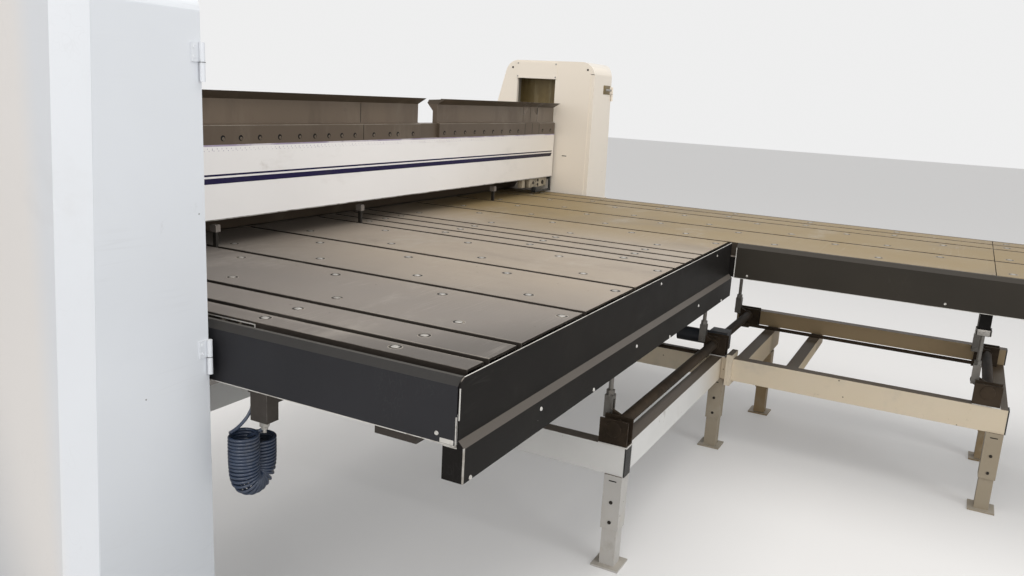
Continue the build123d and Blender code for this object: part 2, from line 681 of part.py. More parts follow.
def make_folding_beam():
    """The folding beam: narrow blade, bevelled hollow body, end arms with journals."""
    top = TABLE_TOP
    c = FOLD_CLEARANCE
    slope_end = BLADE_TOP + BLADE_DEPTH
    blade = [(-c, top), (-BLADE_TOP, top), (-slope_end, top - BLADE_DEPTH), (-c, top - BLADE_DEPTH)]
    node("folding_blade", profile_x(blade, -half_work, half_work))
    body = [
        (-c - 2, top - BLADE_DEPTH),
        (-slope_end, top - BLADE_DEPTH),
        (-FOLD_BODY_REACH, top - FOLD_BODY_REACH + BLADE_TOP),
        (-FOLD_BODY_REACH, top - FOLD_BODY_DEPTH),
        (-20, top - FOLD_BODY_DEPTH),
        (-20, top - BLADE_DEPTH - 30),
    ]
    x_arm = half_work + 2.5
    outer = outline([(-x_arm, y, z) for y, z in body])
    hollow = Pos(-1, 0, 0) * offset(outer, -FOLD_WALL).faces()[0]
    along_x = (1, 0, 0)
    shell = draw_out(outer, 2 * x_arm, along_x) - draw_out(hollow, 2 * x_arm + 2, along_x)
    node("folding_beam_body", shell)
    arms = []
    arm = [
        (-30, top + 29),
        (-FOLD_BODY_REACH, top - FOLD_BODY_REACH + BLADE_TOP),
        (-FOLD_BODY_REACH, top - FOLD_BODY_DEPTH),
        (-20, top - FOLD_BODY_DEPTH),
        (8, top - 60),
        (29, top - 30),
    ]
    for side in (1, -1):
        plate = profile_x(arm, side * x_arm, side * (x_arm + FOLD_ARM))
        eye = rod_x(side * x_arm, side * (x_arm + FOLD_ARM), 0, top, 42)
        journal = rod_x(side * x_arm, side * (frame_out + 90), 0, top, FOLD_JOURNAL_RADIUS)
        arms.append(plate + eye + journal)
    node("folding_arms", *arms)
    drives = []
    for side in (1, -1):
        gearbox = rod_x(side * frame_out, side * (frame_out + 130), 0, top, 60)
        bore = rod_x(side * (frame_out - 1), side * (frame_out + 95), 0, top,
                     FOLD_JOURNAL_RADIUS + RUNNING_FIT)
        motor = rod_z(top - 230, top - 50, side * (frame_out + 80), 0, 45)
        drives.append(gearbox + motor - bore)
    node("fold_drives", *drives)


def table_plate(x0, x1, y0, y1):
    """One folded table plate, with its stiffening flanges turned down at both edges."""
    low, high = sorted((x0, x1))
    top, under = TABLE_TOP, TABLE_TOP - PLATE_THICKNESS
    points = [
        (low, rib_bottom), (low + RIB_THICKNESS, rib_bottom), (low + RIB_THICKNESS, under),
        (high - RIB_THICKNESS, under), (high - RIB_THICKNESS, rib_bottom), (high, rib_bottom),
        (high, top - 1), (high - 1, top), (low + 1, top), (low, top - 1),
    ]
    return profile_y(points, y0, y1)


def slot_edges():
    """The slot centres across the table, from the near side to the far side."""
    centre = [CENTRE_SLOT_PITCH * k / 2 for k in (3, 1)]
    outer = [half_work - EDGE_SLOT_INSET, half_work - OUTER_SLOT_INSET]
    near = outer + [MIDDLE_SLOT_X, INNER_SLOT_X] + centre
    return near + [-x for x in reversed(near)]


def make_table():
    """Table plates with finger slots, the rails below them and the skirts round them."""
    slots = slot_edges()
    half_slot = SLOT_WIDTH / 2
    lefts = [half_work - PLATE_EDGE_GAP] + [x - half_slot for x in slots]
    rights = [x + half_slot for x in slots] + [-half_work + FAR_EDGE_GAP]
    main, extension = [], []
    for a, b in zip(lefts, rights):
        far = a < -INNER_SLOT_X
        main.append(table_plate(b, a, TABLE_START, EXTENSION_JOINT - 1.5 if far else TABLE_DEPTH))
        if far:
            extension.append(table_plate(b, a, EXTENSION_JOINT + 1.5, EXTENSION_DEPTH))
    node("table_plates", *main)
    node("extension_plates", *extension)

    near_x = near_skirt_x - SKIRT_SHEET
    far_x = far_skirt_x + SKIRT_SHEET
    inner_x = inner_skirt_x - SKIRT_SHEET
    near_rail, far_rail = near_x - RAIL_WIDTH, far_x + RAIL_WIDTH
    z0, z1 = rail_bottom, rib_bottom
    half = RAIL_WIDTH / 2
    end_y = EXTENSION_DEPTH + 20 - SKIRT_SHEET
    near_end, far_end = near_x - 250, inner_x + 250
    stays = [near_end + (far_end - near_end) * k / 3 for k in range(4)]
    node("table_frame",
         box(far_rail, near_rail, front_rod_y - half, front_rod_y + half, z0, z1),
         box(far_rail, near_rail, rear_rod_y - half, rear_rod_y + half, z0, z1),
         box(near_rail, near_x, front_rod_y - half, rear_rod_y + half, z0, z1),
         box(far_x, far_rail, front_rod_y - half, end_y, z0, z1),
         *[box(x - 20, x + 20, rear_rod_y + half, skirt_y - SKIRT_SHEET, z0 + 20, z0 + 60)
           for x in stays])
    tube = DROP_TUBE / 2
    node("extension_frame",
         box(inner_x - RAIL_WIDTH, inner_x, rear_rod_y + half, end_y, z0, z1),
         box(far_rail, inner_x - RAIL_WIDTH, extension_rod_y - half, extension_rod_y + half, z0, z1),
         box(far_rail, inner_x - RAIL_WIDTH, end_y - RAIL_WIDTH, end_y, z0, z1),
         *[box(x - tube, x + tube, extension_rod_y - tube, extension_rod_y + tube,
               rail_bottom - DROP_LENGTH, rail_bottom) for x in extension_rods])

    node("near_skirt", side_skirt(near_skirt_x, -1, front_rod_y - half, skirt_y - 6))
    node("far_skirt", side_skirt(far_skirt_x, 1, front_rod_y - half, end_y))
    node("extension_inner_skirt", side_skirt(inner_skirt_x, -1, skirt_y + 18, end_y))
    end = [(inner_skirt_x, TABLE_TOP - SKIRT_HEIGHT), (inner_skirt_x, TABLE_TOP - 2),
           (far_skirt_x, TABLE_TOP - 2), (far_skirt_x, TABLE_TOP - SKIRT_HEIGHT)]
    node("extension_end_skirt", profile_y(end, end_y, end_y + SKIRT_SHEET))
    make_rear_skirt()


def side_skirt(x, inward, y0, y1):
    """A side skirt: bevelled top edge with a short flange and an upright face."""
    top, bottom = TABLE_TOP, TABLE_TOP - SKIRT_HEIGHT
    s, bevel = inward * SKIRT_SHEET, SKIRT_BEVEL
    points = [
        (x, bottom), (x, top - bevel), (x + inward * bevel, top),
        (x + inward * (bevel + 10), top), (x + inward * (bevel + 10), top - SKIRT_SHEET),
        (x + inward * bevel + s * 0.414, top - SKIRT_SHEET), (x + s, top - bevel - abs(s) * 0.414),
        (x + s, bottom),
    ]
    return profile_y(points, y0, y1)


def make_rear_skirt():
    """The rear skirt with its sloping ledge, lower box channel and end cap."""
    s = SKIRT_SHEET
    y, ledge = skirt_y, REAR_SKIRT_LEDGE
    upper, bottom = TABLE_TOP - REAR_SKIRT_UPPER, TABLE_TOP - REAR_SKIRT_HEIGHT
    back = y + ledge - REAR_SKIRT_RETURN
    profile = [
        (y, TABLE_TOP + 1), (y, upper), (y + ledge, upper - ledge), (y + ledge, bottom),
        (back, bottom), (back, bottom + 20), (back + s, bottom + 20), (back + s, bottom + s),
        (y + ledge - s, bottom + s), (y + ledge - s, upper - ledge - s * 0.414),
        (y - s, upper - s * 0.414), (y - s, TABLE_TOP + 1),
    ]
    x0, x1 = inner_skirt_x + 8, near_skirt_x
    skirt = profile_x(profile, x0, x1)
    corner = skirt.edges().filter_by(Axis.Y).group_by(Axis.Z)[-1].sort_by(Axis.X)[-1]
    skirt = fillet(corner, 18)
    side_bottom = TABLE_TOP - SKIRT_HEIGHT - 2
    cap = [(back, bottom), (y + ledge, bottom), (y + ledge, upper - ledge), (y, upper),
           (y - s, upper), (y - s, side_bottom), (back, side_bottom)]
    node("rear_skirt", skirt + profile_x(cap, x1 - s, x1))


def make_gauge():
    """The back gauge: linear axes, bar with carriages, fingers and their cylinders."""
    half = RAIL_WIDTH / 2
    axis_in = gauge_axis_x
    bar_top = rib_bottom - 9
    y0, y1 = GAUGE_BAR_Y, GAUGE_BAR_Y + GAUGE_BAR_DEPTH
    axes, motors, carriages = [], [], []
    rail_top = bar_top - GAUGE_BAR_HEIGHT / 2
    for side in (1, -1):
        x0, x1 = side * (axis_in - GAUGE_AXIS_WIDTH), side * axis_in
        axes.append(box(x0, x1, front_rod_y + half, rear_rod_y - half, rail_bottom, rail_top))
        motor_end = rear_rod_y - half - 10
        motors.append(box(x0, x1, motor_end - GAUGE_MOTOR_LENGTH, motor_end,
                          rail_bottom - GAUGE_MOTOR_HEIGHT, rail_bottom))
        carriages.append(box(x0, x1, y0 - 20, y1 + 20, rail_top + SLIDE_GAP, bar_top))
    node("gauge_axes", *axes, *motors)
    bar_end = axis_in - GAUGE_AXIS_WIDTH
    bar = box(-bar_end, bar_end, y0, y1, bar_top - GAUGE_BAR_HEIGHT, bar_top)
    node("gauge_bar", bar + carriages[0] + carriages[1])

    fingers, cylinders = [], []
    head_top = TABLE_TOP + FINGER_HEAD_TOP
    head_low = head_top - FINGER_HEAD_HEIGHT
    arm_z = TABLE_TOP - FINGER_DROP - 15
    cylinder_depth = 34.0
    plate_y = y0 - cylinder_depth - 2
    for x in (MIDDLE_SLOT_X, CENTRE_SLOT_PITCH * 1.5, -MIDDLE_SLOT_X):
        t = FINGER_THICKNESS / 2
        stem = box(x - t, x + t, FINGER_Y - 6, FINGER_Y + 8, arm_z, head_low)
        arm = box(x - t, x + t, FINGER_Y - 6, plate_y - 10, arm_z - 18, arm_z)
        plate = box(x - t, x + 44, plate_y - 10, plate_y, rail_bottom - 100, arm_z)
        foot = box(x + 12, x + 42, plate_y - 10, plate_y + 30, rail_bottom - 115, rail_bottom - 100)
        cx, cy = x + 27, y0 - cylinder_depth / 2
        rod = rod_z(rail_bottom - 100, rail_bottom + 5, cx, cy, 5)
        head = box(x - FINGER_HEAD_WIDTH / 2, x + FINGER_HEAD_WIDTH / 2, FINGER_Y - 14,
                   FINGER_Y + 14, head_low, head_top)
        head = chamfer(head.edges().filter_by(Axis.X).group_by(Axis.Z)[-1], 4)
        fingers.extend([stem + head, arm, plate, foot, rod])
        cylinder = box(x + 10, x + 44, y0 - cylinder_depth, y0, rail_bottom - 95, bar_top)
        cylinder = cylinder - rod_z(rail_bottom - 96, bar_top - 8, cx, cy, 5 + RUNNING_FIT)
        cylinders.append(cylinder)
    node("gauge_fingers", *fingers)
    node("finger_cylinders", *cylinders)


def make_support_frame():
    """The welded support frame, its legs, end caps and the flanges that join its halves."""
    top, low = SUPPORT_TOP, SUPPORT_TOP - SUPPORT_DEPTH
    half = SUPPORT_WIDTH / 2
    tie_y0, tie_y1 = TIE_BEAM_Y - half, TIE_BEAM_Y + half
    near_end = TABLE_DEPTH
    cross_y = rear_rod_y + 63
    flange_y = cross_y + 50
    end_y = extension_rod_y + 126
    flange_x0, flange_x1 = MIDDLE_BEAM_X - half - 28, MIDDLE_BEAM_X + half + 28
    flanges = [box(flange_x0, flange_x1, y, y + FLANGE_PLATE, low - 18, top + 22)
               for y in (flange_y, flange_y + FLANGE_PLATE)]
    node("support_frame",
         box(-frame_in, frame_in, tie_y0, tie_y1, low, top),
         box(NEAR_BEAM_X - half, NEAR_BEAM_X + half, tie_y1, near_end, low, top),
         box(MIDDLE_BEAM_X - half, MIDDLE_BEAM_X + half, tie_y1, flange_y, low, top),
         box(MIDDLE_BEAM_X + half, NEAR_BEAM_X - half, cross_y - half, cross_y + half, low, top),
         flanges[0])
    ext_y0 = flange_y + 2 * FLANGE_PLATE
    rail_low = top
    bars = []
    for y, depth in ((ext_y0 + 30, SUPPORT_DEPTH), (ext_y0 + 240, 50), (end_y - half, SUPPORT_DEPTH)):
        x_far = far_rail_x - half
        bars.append(box(x_far, MIDDLE_BEAM_X - half, y - half, y + half, top - depth, top))
    node("extension_support",
         box(MIDDLE_BEAM_X - half, MIDDLE_BEAM_X + half, ext_y0, end_y, low, top),
         box(far_rail_x - half, far_rail_x + half, rear_rod_y - 20, end_y,
             rail_low, rail_low + FAR_RAIL_DEPTH),
         flanges[1], *bars)
    cap = CAP_THICKNESS
    node("frame_end_caps",
         box(NEAR_BEAM_X - half, NEAR_BEAM_X + half, near_end, near_end + cap, low, top),
         box(MIDDLE_BEAM_X - half, MIDDLE_BEAM_X + half, end_y, end_y + cap, low, top),
         box(far_rail_x - half, far_rail_x + half, end_y, end_y + cap, rail_low,
             rail_low + FAR_RAIL_DEPTH))
    legs = [
        (NEAR_BEAM_X, near_end - LEG_WIDTH / 2),
        (MIDDLE_BEAM_X, flange_y - LEG_WIDTH / 2 - 10),
        (MIDDLE_BEAM_X, end_y - LEG_WIDTH / 2),
        (far_leg_x, ext_y0 + 30),
        (far_leg_x, end_y - LEG_WIDTH / 2),
    ]
    sleeves, feet, bolts = [], [], []
    w = LEG_WIDTH / 2
    inner = w - LEG_WALL
    tube = inner - LEG_FIT
    for x, y in legs:
        sleeve = box(x - w, x + w, y - w, y + w, LEG_BOTTOM, low)
        sleeve = sleeve - box(x - inner, x + inner, y - inner, y + inner, LEG_BOTTOM - 1, low - 4)
        leg = box(x - tube, x + tube, y - tube, y + tube, FOOT_PLATE, low - 30)
        leg = leg + box(x - FOOT_SIZE / 2, x + FOOT_SIZE / 2, y - FOOT_SIZE / 2,
                        y + FOOT_SIZE / 2, 0, FOOT_PLATE)
        for z in (LEG_BOTTOM + 25, LEG_BOTTOM + 95):
            hole = rod_x(x - w - 1, x + w + 1, y, z, LEG_BOLT_RADIUS + RUNNING_FIT)
            sleeve, leg = sleeve - hole, leg - hole
            shank = rod_x(x - w - 2, x + w + 2, y, z, LEG_BOLT_RADIUS)
            bolts.append(shank)
        sleeves.append(sleeve)
        feet.append(leg)
    node("leg_sleeves", *sleeves)
    node("adjustable_feet", *feet)
    node("leg_bolts", *bolts)


def torque_shaft(y, x0, x1, levers, arms):
    """A torque shaft with its slotted lift levers and hanging arms welded on."""
    shaft = rod_x(x0, x1, y, SHAFT_Z, SHAFT_RADIUS)
    t = LEVER_THICKNESS / 2
    reach = LEVER_LENGTH
    short = LEVER_LENGTH * cos(lever_rise)
    slot_mid, slot_half = (reach + short) / 2, (reach - short) / 2
    slack = PIN_RADIUS + PIN_SLACK
    for x in levers:
        bar = profile_x([(0, -SHAFT_RADIUS + 2), (-reach, -LEVER_EYE), (-reach, LEVER_EYE),
                         (0, SHAFT_RADIUS - 2)], x - t, x + t)
        eye = rod_x(x - t, x + t, -reach, 0, LEVER_EYE)
        slot = box(x - t - 1, x + t + 1, -slot_mid - slot_half, -slot_mid + slot_half, -slack, slack)
        for end in (-slot_mid - slot_half, -slot_mid + slot_half):
            slot = slot + rod_x(x - t - 1, x + t + 1, end, 0, slack)
        hub = rod_x(x - t, x + t, 0, 0, SHAFT_RADIUS + 4)
        lever = (bar + eye + hub) - slot
        shaft = shaft + Pos(0, y, SHAFT_Z) * Rot(-LEVER_SWING / 2, 0, 0) * lever
    for x in arms:
        bar = box(x - t, x + t, -ARM_EYE, ARM_EYE, -ARM_LENGTH, 0)
        eye = rod_x(x - t, x + t, 0, -ARM_LENGTH, ARM_EYE)
        hole = rod_x(x - t - 1, x + t + 1, 0, -ARM_LENGTH, PIN_RADIUS + RUNNING_FIT)
        arm = (bar + eye) - hole
        shaft = shaft + Pos(0, y, SHAFT_Z) * Rot(-LEVER_SWING / 2, 0, 0) * arm
    return shaft


def fork(x, y, z, up, length):
    """A clevis round a lever, with its pin across the fork, pointing up or along -Y."""
    t = LEVER_THICKNESS / 2 + FORK_GAP
    wall = FORK_WALL
    outer = t + wall
    if up:
        head = box(x - outer, x + outer, y - 14, y + 14, z - 14, z + length)
        gap = box(x - t, x + t, y - 15, y + 15, z - 15, z + length - 14)
    else:
        head = box(x - outer, x + outer, y - 11, y + length, z - 11, z + 11)
        gap = box(x - t, x + t, y - 12, y + length - 14, z - 12, z + 12)
    pin = rod_x(x - outer - 4, x + outer + 4, y, z, PIN_RADIUS)
    return (head - gap) + pin


def lift_rod(x, y, top):
    """A clevis, lock nut and threaded rod that hang the table on a lever."""
    clevis = fork(x, y, pin_z, True, 62)
    nut = Pos(x, y, pin_z + 62) * extrude(RegularPolygon(14, 6), 16)
    rod = rod_z(pin_z + 78, top, x, y, LINK_ROD_RADIUS)
    return clevis + nut + rod


def pull_rod(x, y0, y1):
    """A rod with a fork at each end that makes two torque shafts turn together."""
    turn = radians(LEVER_SWING / 2)
    shift = -ARM_LENGTH * sin(turn)
    z = SHAFT_Z - ARM_LENGTH * cos(turn)
    first, last = y0 + shift, y1 + shift
    near_fork = fork(x, first, z, False, 40)
    far_fork = Pos(x, last, z) * Rot(0, 0, 180) * fork(0, 0, 0, False, 40)
    rod = rod_y(first + 40, last - 40, x, z, PULL_ROD_RADIUS)
    return near_fork + far_fork + rod


def bracket(x, y, base, wide):
    """A folded bearing box that carries a torque shaft."""
    height = BRACKET_HEIGHT
    half, w = BRACKET_DEPTH / 2, BRACKET_WALL
    body = box(x - wide / 2, x + wide / 2, y - half, y + half, base, base + height)
    room = box(x - wide / 2 + w, x + wide / 2 - w, y - half - 1, y + half + 1, base + w, base + height + 1)
    bore = rod_x(x - wide, x + wide, y, SHAFT_Z, SHAFT_RADIUS + RUNNING_FIT)
    return body - room - bore


def make_linkage():
    """Torque shafts, levers, lift rods and pull rods that lower the table evenly."""
    front_y = front_rod_y + pin_ahead
    rear_y = rear_rod_y + pin_ahead
    extension_y = extension_rod_y + pin_ahead
    half = BRACKET_WIDTH / 2
    far_x = far_rail_x + SUPPORT_WIDTH / 2 + half + 2
    node("front_torque_shaft", torque_shaft(front_y, MIDDLE_BEAM_X - half - 8, NEAR_BEAM_X + half,
                                            front_rods, (FRONT_PULL_X,)))
    node("rear_torque_shaft", torque_shaft(rear_y, far_x - half - 1, NEAR_BEAM_X + half, rear_rods,
                                           (FRONT_PULL_X, rear_pull_x)))
    node("extension_torque_shaft", torque_shaft(extension_y, far_x - half - 1, MIDDLE_BEAM_X + half,
                                                extension_rods, (rear_pull_x,)))
    base = SUPPORT_TOP
    node("main_shaft_brackets",
         *[bracket(x, y, base, BRACKET_WIDTH) for x in (NEAR_BEAM_X, MIDDLE_BEAM_X)
           for y in (front_y, rear_y)])
    rail_side = far_rail_x + SUPPORT_WIDTH / 2
    shelf = [box(rail_side, far_x + half, y - BRACKET_DEPTH / 2, y + 20, base, base + BRACKET_WALL)
             for y in (rear_y, extension_y)]
    node("extension_shaft_brackets", bracket(MIDDLE_BEAM_X, extension_y, base, BRACKET_WIDTH),
         bracket(far_x, extension_y, base, BRACKET_WIDTH) + shelf[1],
         bracket(far_x, rear_y, base, BRACKET_WIDTH) + shelf[0])
    rods = [lift_rod(x, front_rod_y, rail_bottom) for x in front_rods]
    rods += [lift_rod(x, rear_rod_y, rail_bottom) for x in rear_rods]
    rods += [lift_rod(x, extension_rod_y, rail_bottom - DROP_LENGTH) for x in extension_rods]
    node("lift_rods", *rods)
    gear_x = MIDDLE_BEAM_X - half
    gear = box(gear_x - 70, gear_x, rear_y - 40, rear_y + 40, SHAFT_Z - 42, SHAFT_Z + 42)
    gear = gear - rod_x(gear_x - 71, gear_x + 1, rear_y, SHAFT_Z, SHAFT_RADIUS + RUNNING_FIT)
    motor = rod_y(rear_y - 190, rear_y - 40, gear_x - 35, SHAFT_Z, MOTOR_RADIUS)
    node("table_lift_motor", gear + motor)
    node("front_pull_rod", pull_rod(FRONT_PULL_X, front_y, rear_y))
    node("extension_pull_rod", pull_rod(rear_pull_x, rear_y, extension_y))


def make_services():
    """The hydraulic unit and control cabinet in the near housing, and the air hose."""
    x0 = frame_out
    tank_rear = NEAR_REAR - TANK_DOOR_ROOM
    tank = box(x0, x0 + TANK_WIDTH, TANK_FRONT, tank_rear, TANK_FEET, TANK_TOP)
    feet = [box(x0 + 10, x0 + TANK_WIDTH - 10, y, y + TANK_FOOT_DEPTH, 0, TANK_FEET)
            for y in (TANK_FRONT + 20, tank_rear - TANK_FOOT_DEPTH - 20)]
    motor = rod_z(TANK_TOP, PUMP_TOP, x0 + TANK_WIDTH / 2, PUMP_Y, PUMP_RADIUS)
    cabinet = box(x0, x0 + CABINET_WIDTH, CABINET_FRONT, CABINET_REAR,
                  TABLE_TOP - CABINET_BELOW, TABLE_TOP + CABINET_ABOVE)
    node("housing_equipment", tank + motor + feet[0] + feet[1], cabinet)
    make_air_hose()


def make_air_hose():
    """The coiled hose: two strands side by side, each led up beside its air block."""
    near_x = near_skirt_x - SKIRT_SHEET - RAIL_WIDTH / 2
    far_x = near_x - 2 * HOSE_BEND
    top, low = rail_bottom - HOSE_BELOW_RAIL, rail_bottom - HOSE_BELOW_RAIL - HOSE_DROP
    route = FilletPolyline((near_x, HOSE_Y, top), (near_x, HOSE_Y, low),
                           (far_x, HOSE_Y, low), (far_x, HOSE_Y, top), radius=HOSE_BEND - 0.5)
    ring = Plane(origin=(near_x, HOSE_Y, top), z_dir=(0, 0, -1)) * Circle(HOSE_COIL_RADIUS)
    lead_y = HOSE_Y + HOSE_COIL_RADIUS - 2 * HOSE_RADIUS
    collar_low, block_low = rail_bottom - FITTING_HEIGHT, rail_bottom - FAR_BLOCK_HEIGHT
    hose = sweep(ring, path=route)
    hose = hose + rod_z(top - 10, collar_low, near_x, lead_y, HOSE_RADIUS)
    hose = hose + rod_z(top - 10, block_low, far_x, lead_y, HOSE_RADIUS)
    node("coiled_air_hose", hose)
    collar = rod_z(collar_low, rail_bottom, near_x, lead_y, FITTING_RADIUS)
    y0, half = lead_y + FITTING_RADIUS + 2, AIR_BLOCK_WIDTH / 2
    low = rail_bottom - AIR_BLOCK_HEIGHT
    block = box(near_x - half, near_x + half, y0, y0 + AIR_BLOCK_DEPTH, low, rail_bottom)
    hexagon = extrude(RegularPolygon(FITTING_RADIUS, 6), FITTING_HEIGHT)
    block = block + Pos(near_x, y0 + AIR_BLOCK_DEPTH / 2, low - FITTING_HEIGHT) * hexagon
    far_block = box(far_x - half, far_x + half, lead_y - FAR_BLOCK_DEPTH / 2,
                    lead_y + FAR_BLOCK_DEPTH / 2, block_low, rail_bottom)
    node("air_blocks", collar, block, far_block)


def main():
    """Build every sub-part and write it to its own STEP file."""
    make_housings()
    make_lower_beam()
    make_clamping_beam()
    make_tall_tools()
    make_carriages()
    make_turn_drive()
    make_folding_beam()
    make_table()
    make_gauge()
    make_support_frame()
    make_linkage()
    make_services()
    os.makedirs("parts", exist_ok=True)
    for name, solids in parts.items():
        shape = solids[0] if len(solids) == 1 else Compound(children=solids)
        export_step(origin_shift * shape, "parts/" + name + ".step")


main()
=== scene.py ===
"""Finishes, fittings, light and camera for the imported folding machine.

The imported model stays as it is: this script dresses it with node-based finishes and adds the
small pieces that the solids leave out. Sizes are millimetres from the fold line at the floor,
as in the part's source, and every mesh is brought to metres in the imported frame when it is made.
"""

from __future__ import annotations

import logging
import math
from dataclasses import dataclass, field, replace
from enum import Enum
from functools import partial

import bmesh
import bpy
from mathutils import Matrix, Vector


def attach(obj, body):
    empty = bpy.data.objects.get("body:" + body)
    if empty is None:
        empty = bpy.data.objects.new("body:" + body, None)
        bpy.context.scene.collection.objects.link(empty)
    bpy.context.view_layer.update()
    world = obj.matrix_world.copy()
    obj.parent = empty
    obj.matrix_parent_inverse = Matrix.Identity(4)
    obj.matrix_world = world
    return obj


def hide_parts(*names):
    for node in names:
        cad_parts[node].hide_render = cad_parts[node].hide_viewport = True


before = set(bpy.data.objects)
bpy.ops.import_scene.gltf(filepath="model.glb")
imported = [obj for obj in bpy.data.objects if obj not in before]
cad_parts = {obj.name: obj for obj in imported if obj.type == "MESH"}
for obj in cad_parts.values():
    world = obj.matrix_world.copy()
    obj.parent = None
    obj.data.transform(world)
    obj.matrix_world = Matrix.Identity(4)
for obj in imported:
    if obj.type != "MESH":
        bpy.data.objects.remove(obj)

log = logging.getLogger("folding_machine")

MILLIMETRE = 0.001
FOLD_LINE_Y = -1.5035
SMOOTH_ANGLE = 35.0
WHITE = (1.0, 1.0, 1.0, 1.0)

TABLE_TOP = 950.0
HALF_WORK = 1575.0

Colour = tuple[float, float, float]
Point = tuple[float, float, float]


class Body(Enum):
    """The moving bodies that added pieces ride on."""

    STAND = "stand"
    NEAR_DOOR = "near_door"
    FAR_DOOR = "far_door"
    CLAMPING_BEAM = "clamping_beam"
    TABLE = "table"


class Slot(Enum):
    """The record's material slots that added pieces use."""

    HOUSING = "housing_paint"
    BEAM = "beam_paint"
    SUPPORT = "support_paint"
    DARK = "dark_paint"
    BROWN = "brown_paint"
    TABLE = "table_steel"
    TABLE_DARK = "table_steel_dark"
    TOOL = "tool_steel"
    BRIGHT = "bright_steel"
    ZINC = "zinc"
    HOSE = "hose"


def placed(point: Point) -> Vector:
    """A point given from the fold line in millimetres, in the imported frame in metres."""
    x, y, z = point
    return Vector((x * MILLIMETRE, y * MILLIMETRE + FOLD_LINE_Y, z * MILLIMETRE))


def linked(name: str, data: bpy.types.ID) -> bpy.types.Object:
    """A new object of the scene that holds this data."""
    obj = bpy.data.objects.new(name, data)
    bpy.context.scene.collection.objects.link(obj)
    return obj


def looking(direction: Vector, axis: str = "Z") -> Matrix:
    """The turn that points an axis along a direction."""
    return direction.to_track_quat(axis, "Y").to_matrix().to_4x4()


# Shader graphs


class Graph:
    """A short way to write a node tree: each method adds a node and returns its output."""

    def __init__(self, tree: bpy.types.NodeTree) -> None:
        """Work on this tree."""
        self.tree = tree

    def add(self, kind: str, inputs: dict | None = None, **settings) -> bpy.types.Node:
        """Add one node.

        Args:
            kind: The node's type name.
            inputs: Values or sockets for its inputs, by name or by number.
            settings: Properties of the node itself.

        Returns:
            The new node.
        """
        node = self.tree.nodes.new(kind)
        for name, value in settings.items():
            setattr(node, name, value)
        for key, value in (inputs or {}).items():
            if isinstance(value, bpy.types.NodeSocket):
                self.tree.links.new(value, node.inputs[key])
            else:
                node.inputs[key].default_value = value
        return node

    def math(self, operation: str, first, second=0.0, clamp: bool = False):
        """A sum, product or other operation on two values."""
        inputs = {0: first, 1: second}
        return self.add("ShaderNodeMath", inputs, operation=operation, use_clamp=clamp).outputs[0]

    def dot(self, first, second):
        """The dot product of two vectors."""
        inputs = {0: first, 1: second}
        return self.add("ShaderNodeVectorMath", inputs, operation="DOT_PRODUCT").outputs["Value"]

    def mix(self, factor, first, second):
        """A blend of two colours."""
        colours = [value if isinstance(value, bpy.types.NodeSocket) else (*value, 1.0)
                   for value in (first, second)]
        inputs = {0: factor, 6: colours[0], 7: colours[1]}
        return self.add("ShaderNodeMix", inputs, data_type="RGBA").outputs[2]

    def remap(self, value, low, high, start: float = 0.0, end: float = 1.0):
        """A value moved smoothly from one range to another, held at its ends."""
        inputs = {0: value, 1: low, 2: high, 3: start, 4: end}
        return self.add("ShaderNodeMapRange", inputs, interpolation_type="SMOOTHSTEP").outputs[0]

    def noise(self, vector, scale, detail: float = 4.0, roughness: float = 0.55,
              distortion: float = 0.0):
        """Fractal noise between 0 and 1."""
        inputs = {"Vector": vector, "Scale": scale, "Detail": detail, "Roughness": roughness,
                  "Distortion": distortion}
        return self.add("ShaderNodeTexNoise", inputs).outputs[0]

    def stretch(self, vector, scale: Point, turn: Point = (0.0, 0.0, 0.0)):
        """A vector scaled and turned by a Mapping node."""
        inputs = {"Vector": vector, "Scale": scale, "Rotation": turn}
        return self.add("ShaderNodeMapping", inputs).outputs[0]

    def normal(self):
        """The true normal of the surface."""
        return self.add("ShaderNodeNewGeometry").outputs["True Normal"]

    def upward(self):
        """How far the surface looks up, from minus one to one."""
        return self.add("ShaderNodeSeparateXYZ", {0: self.normal()}).outputs[2]


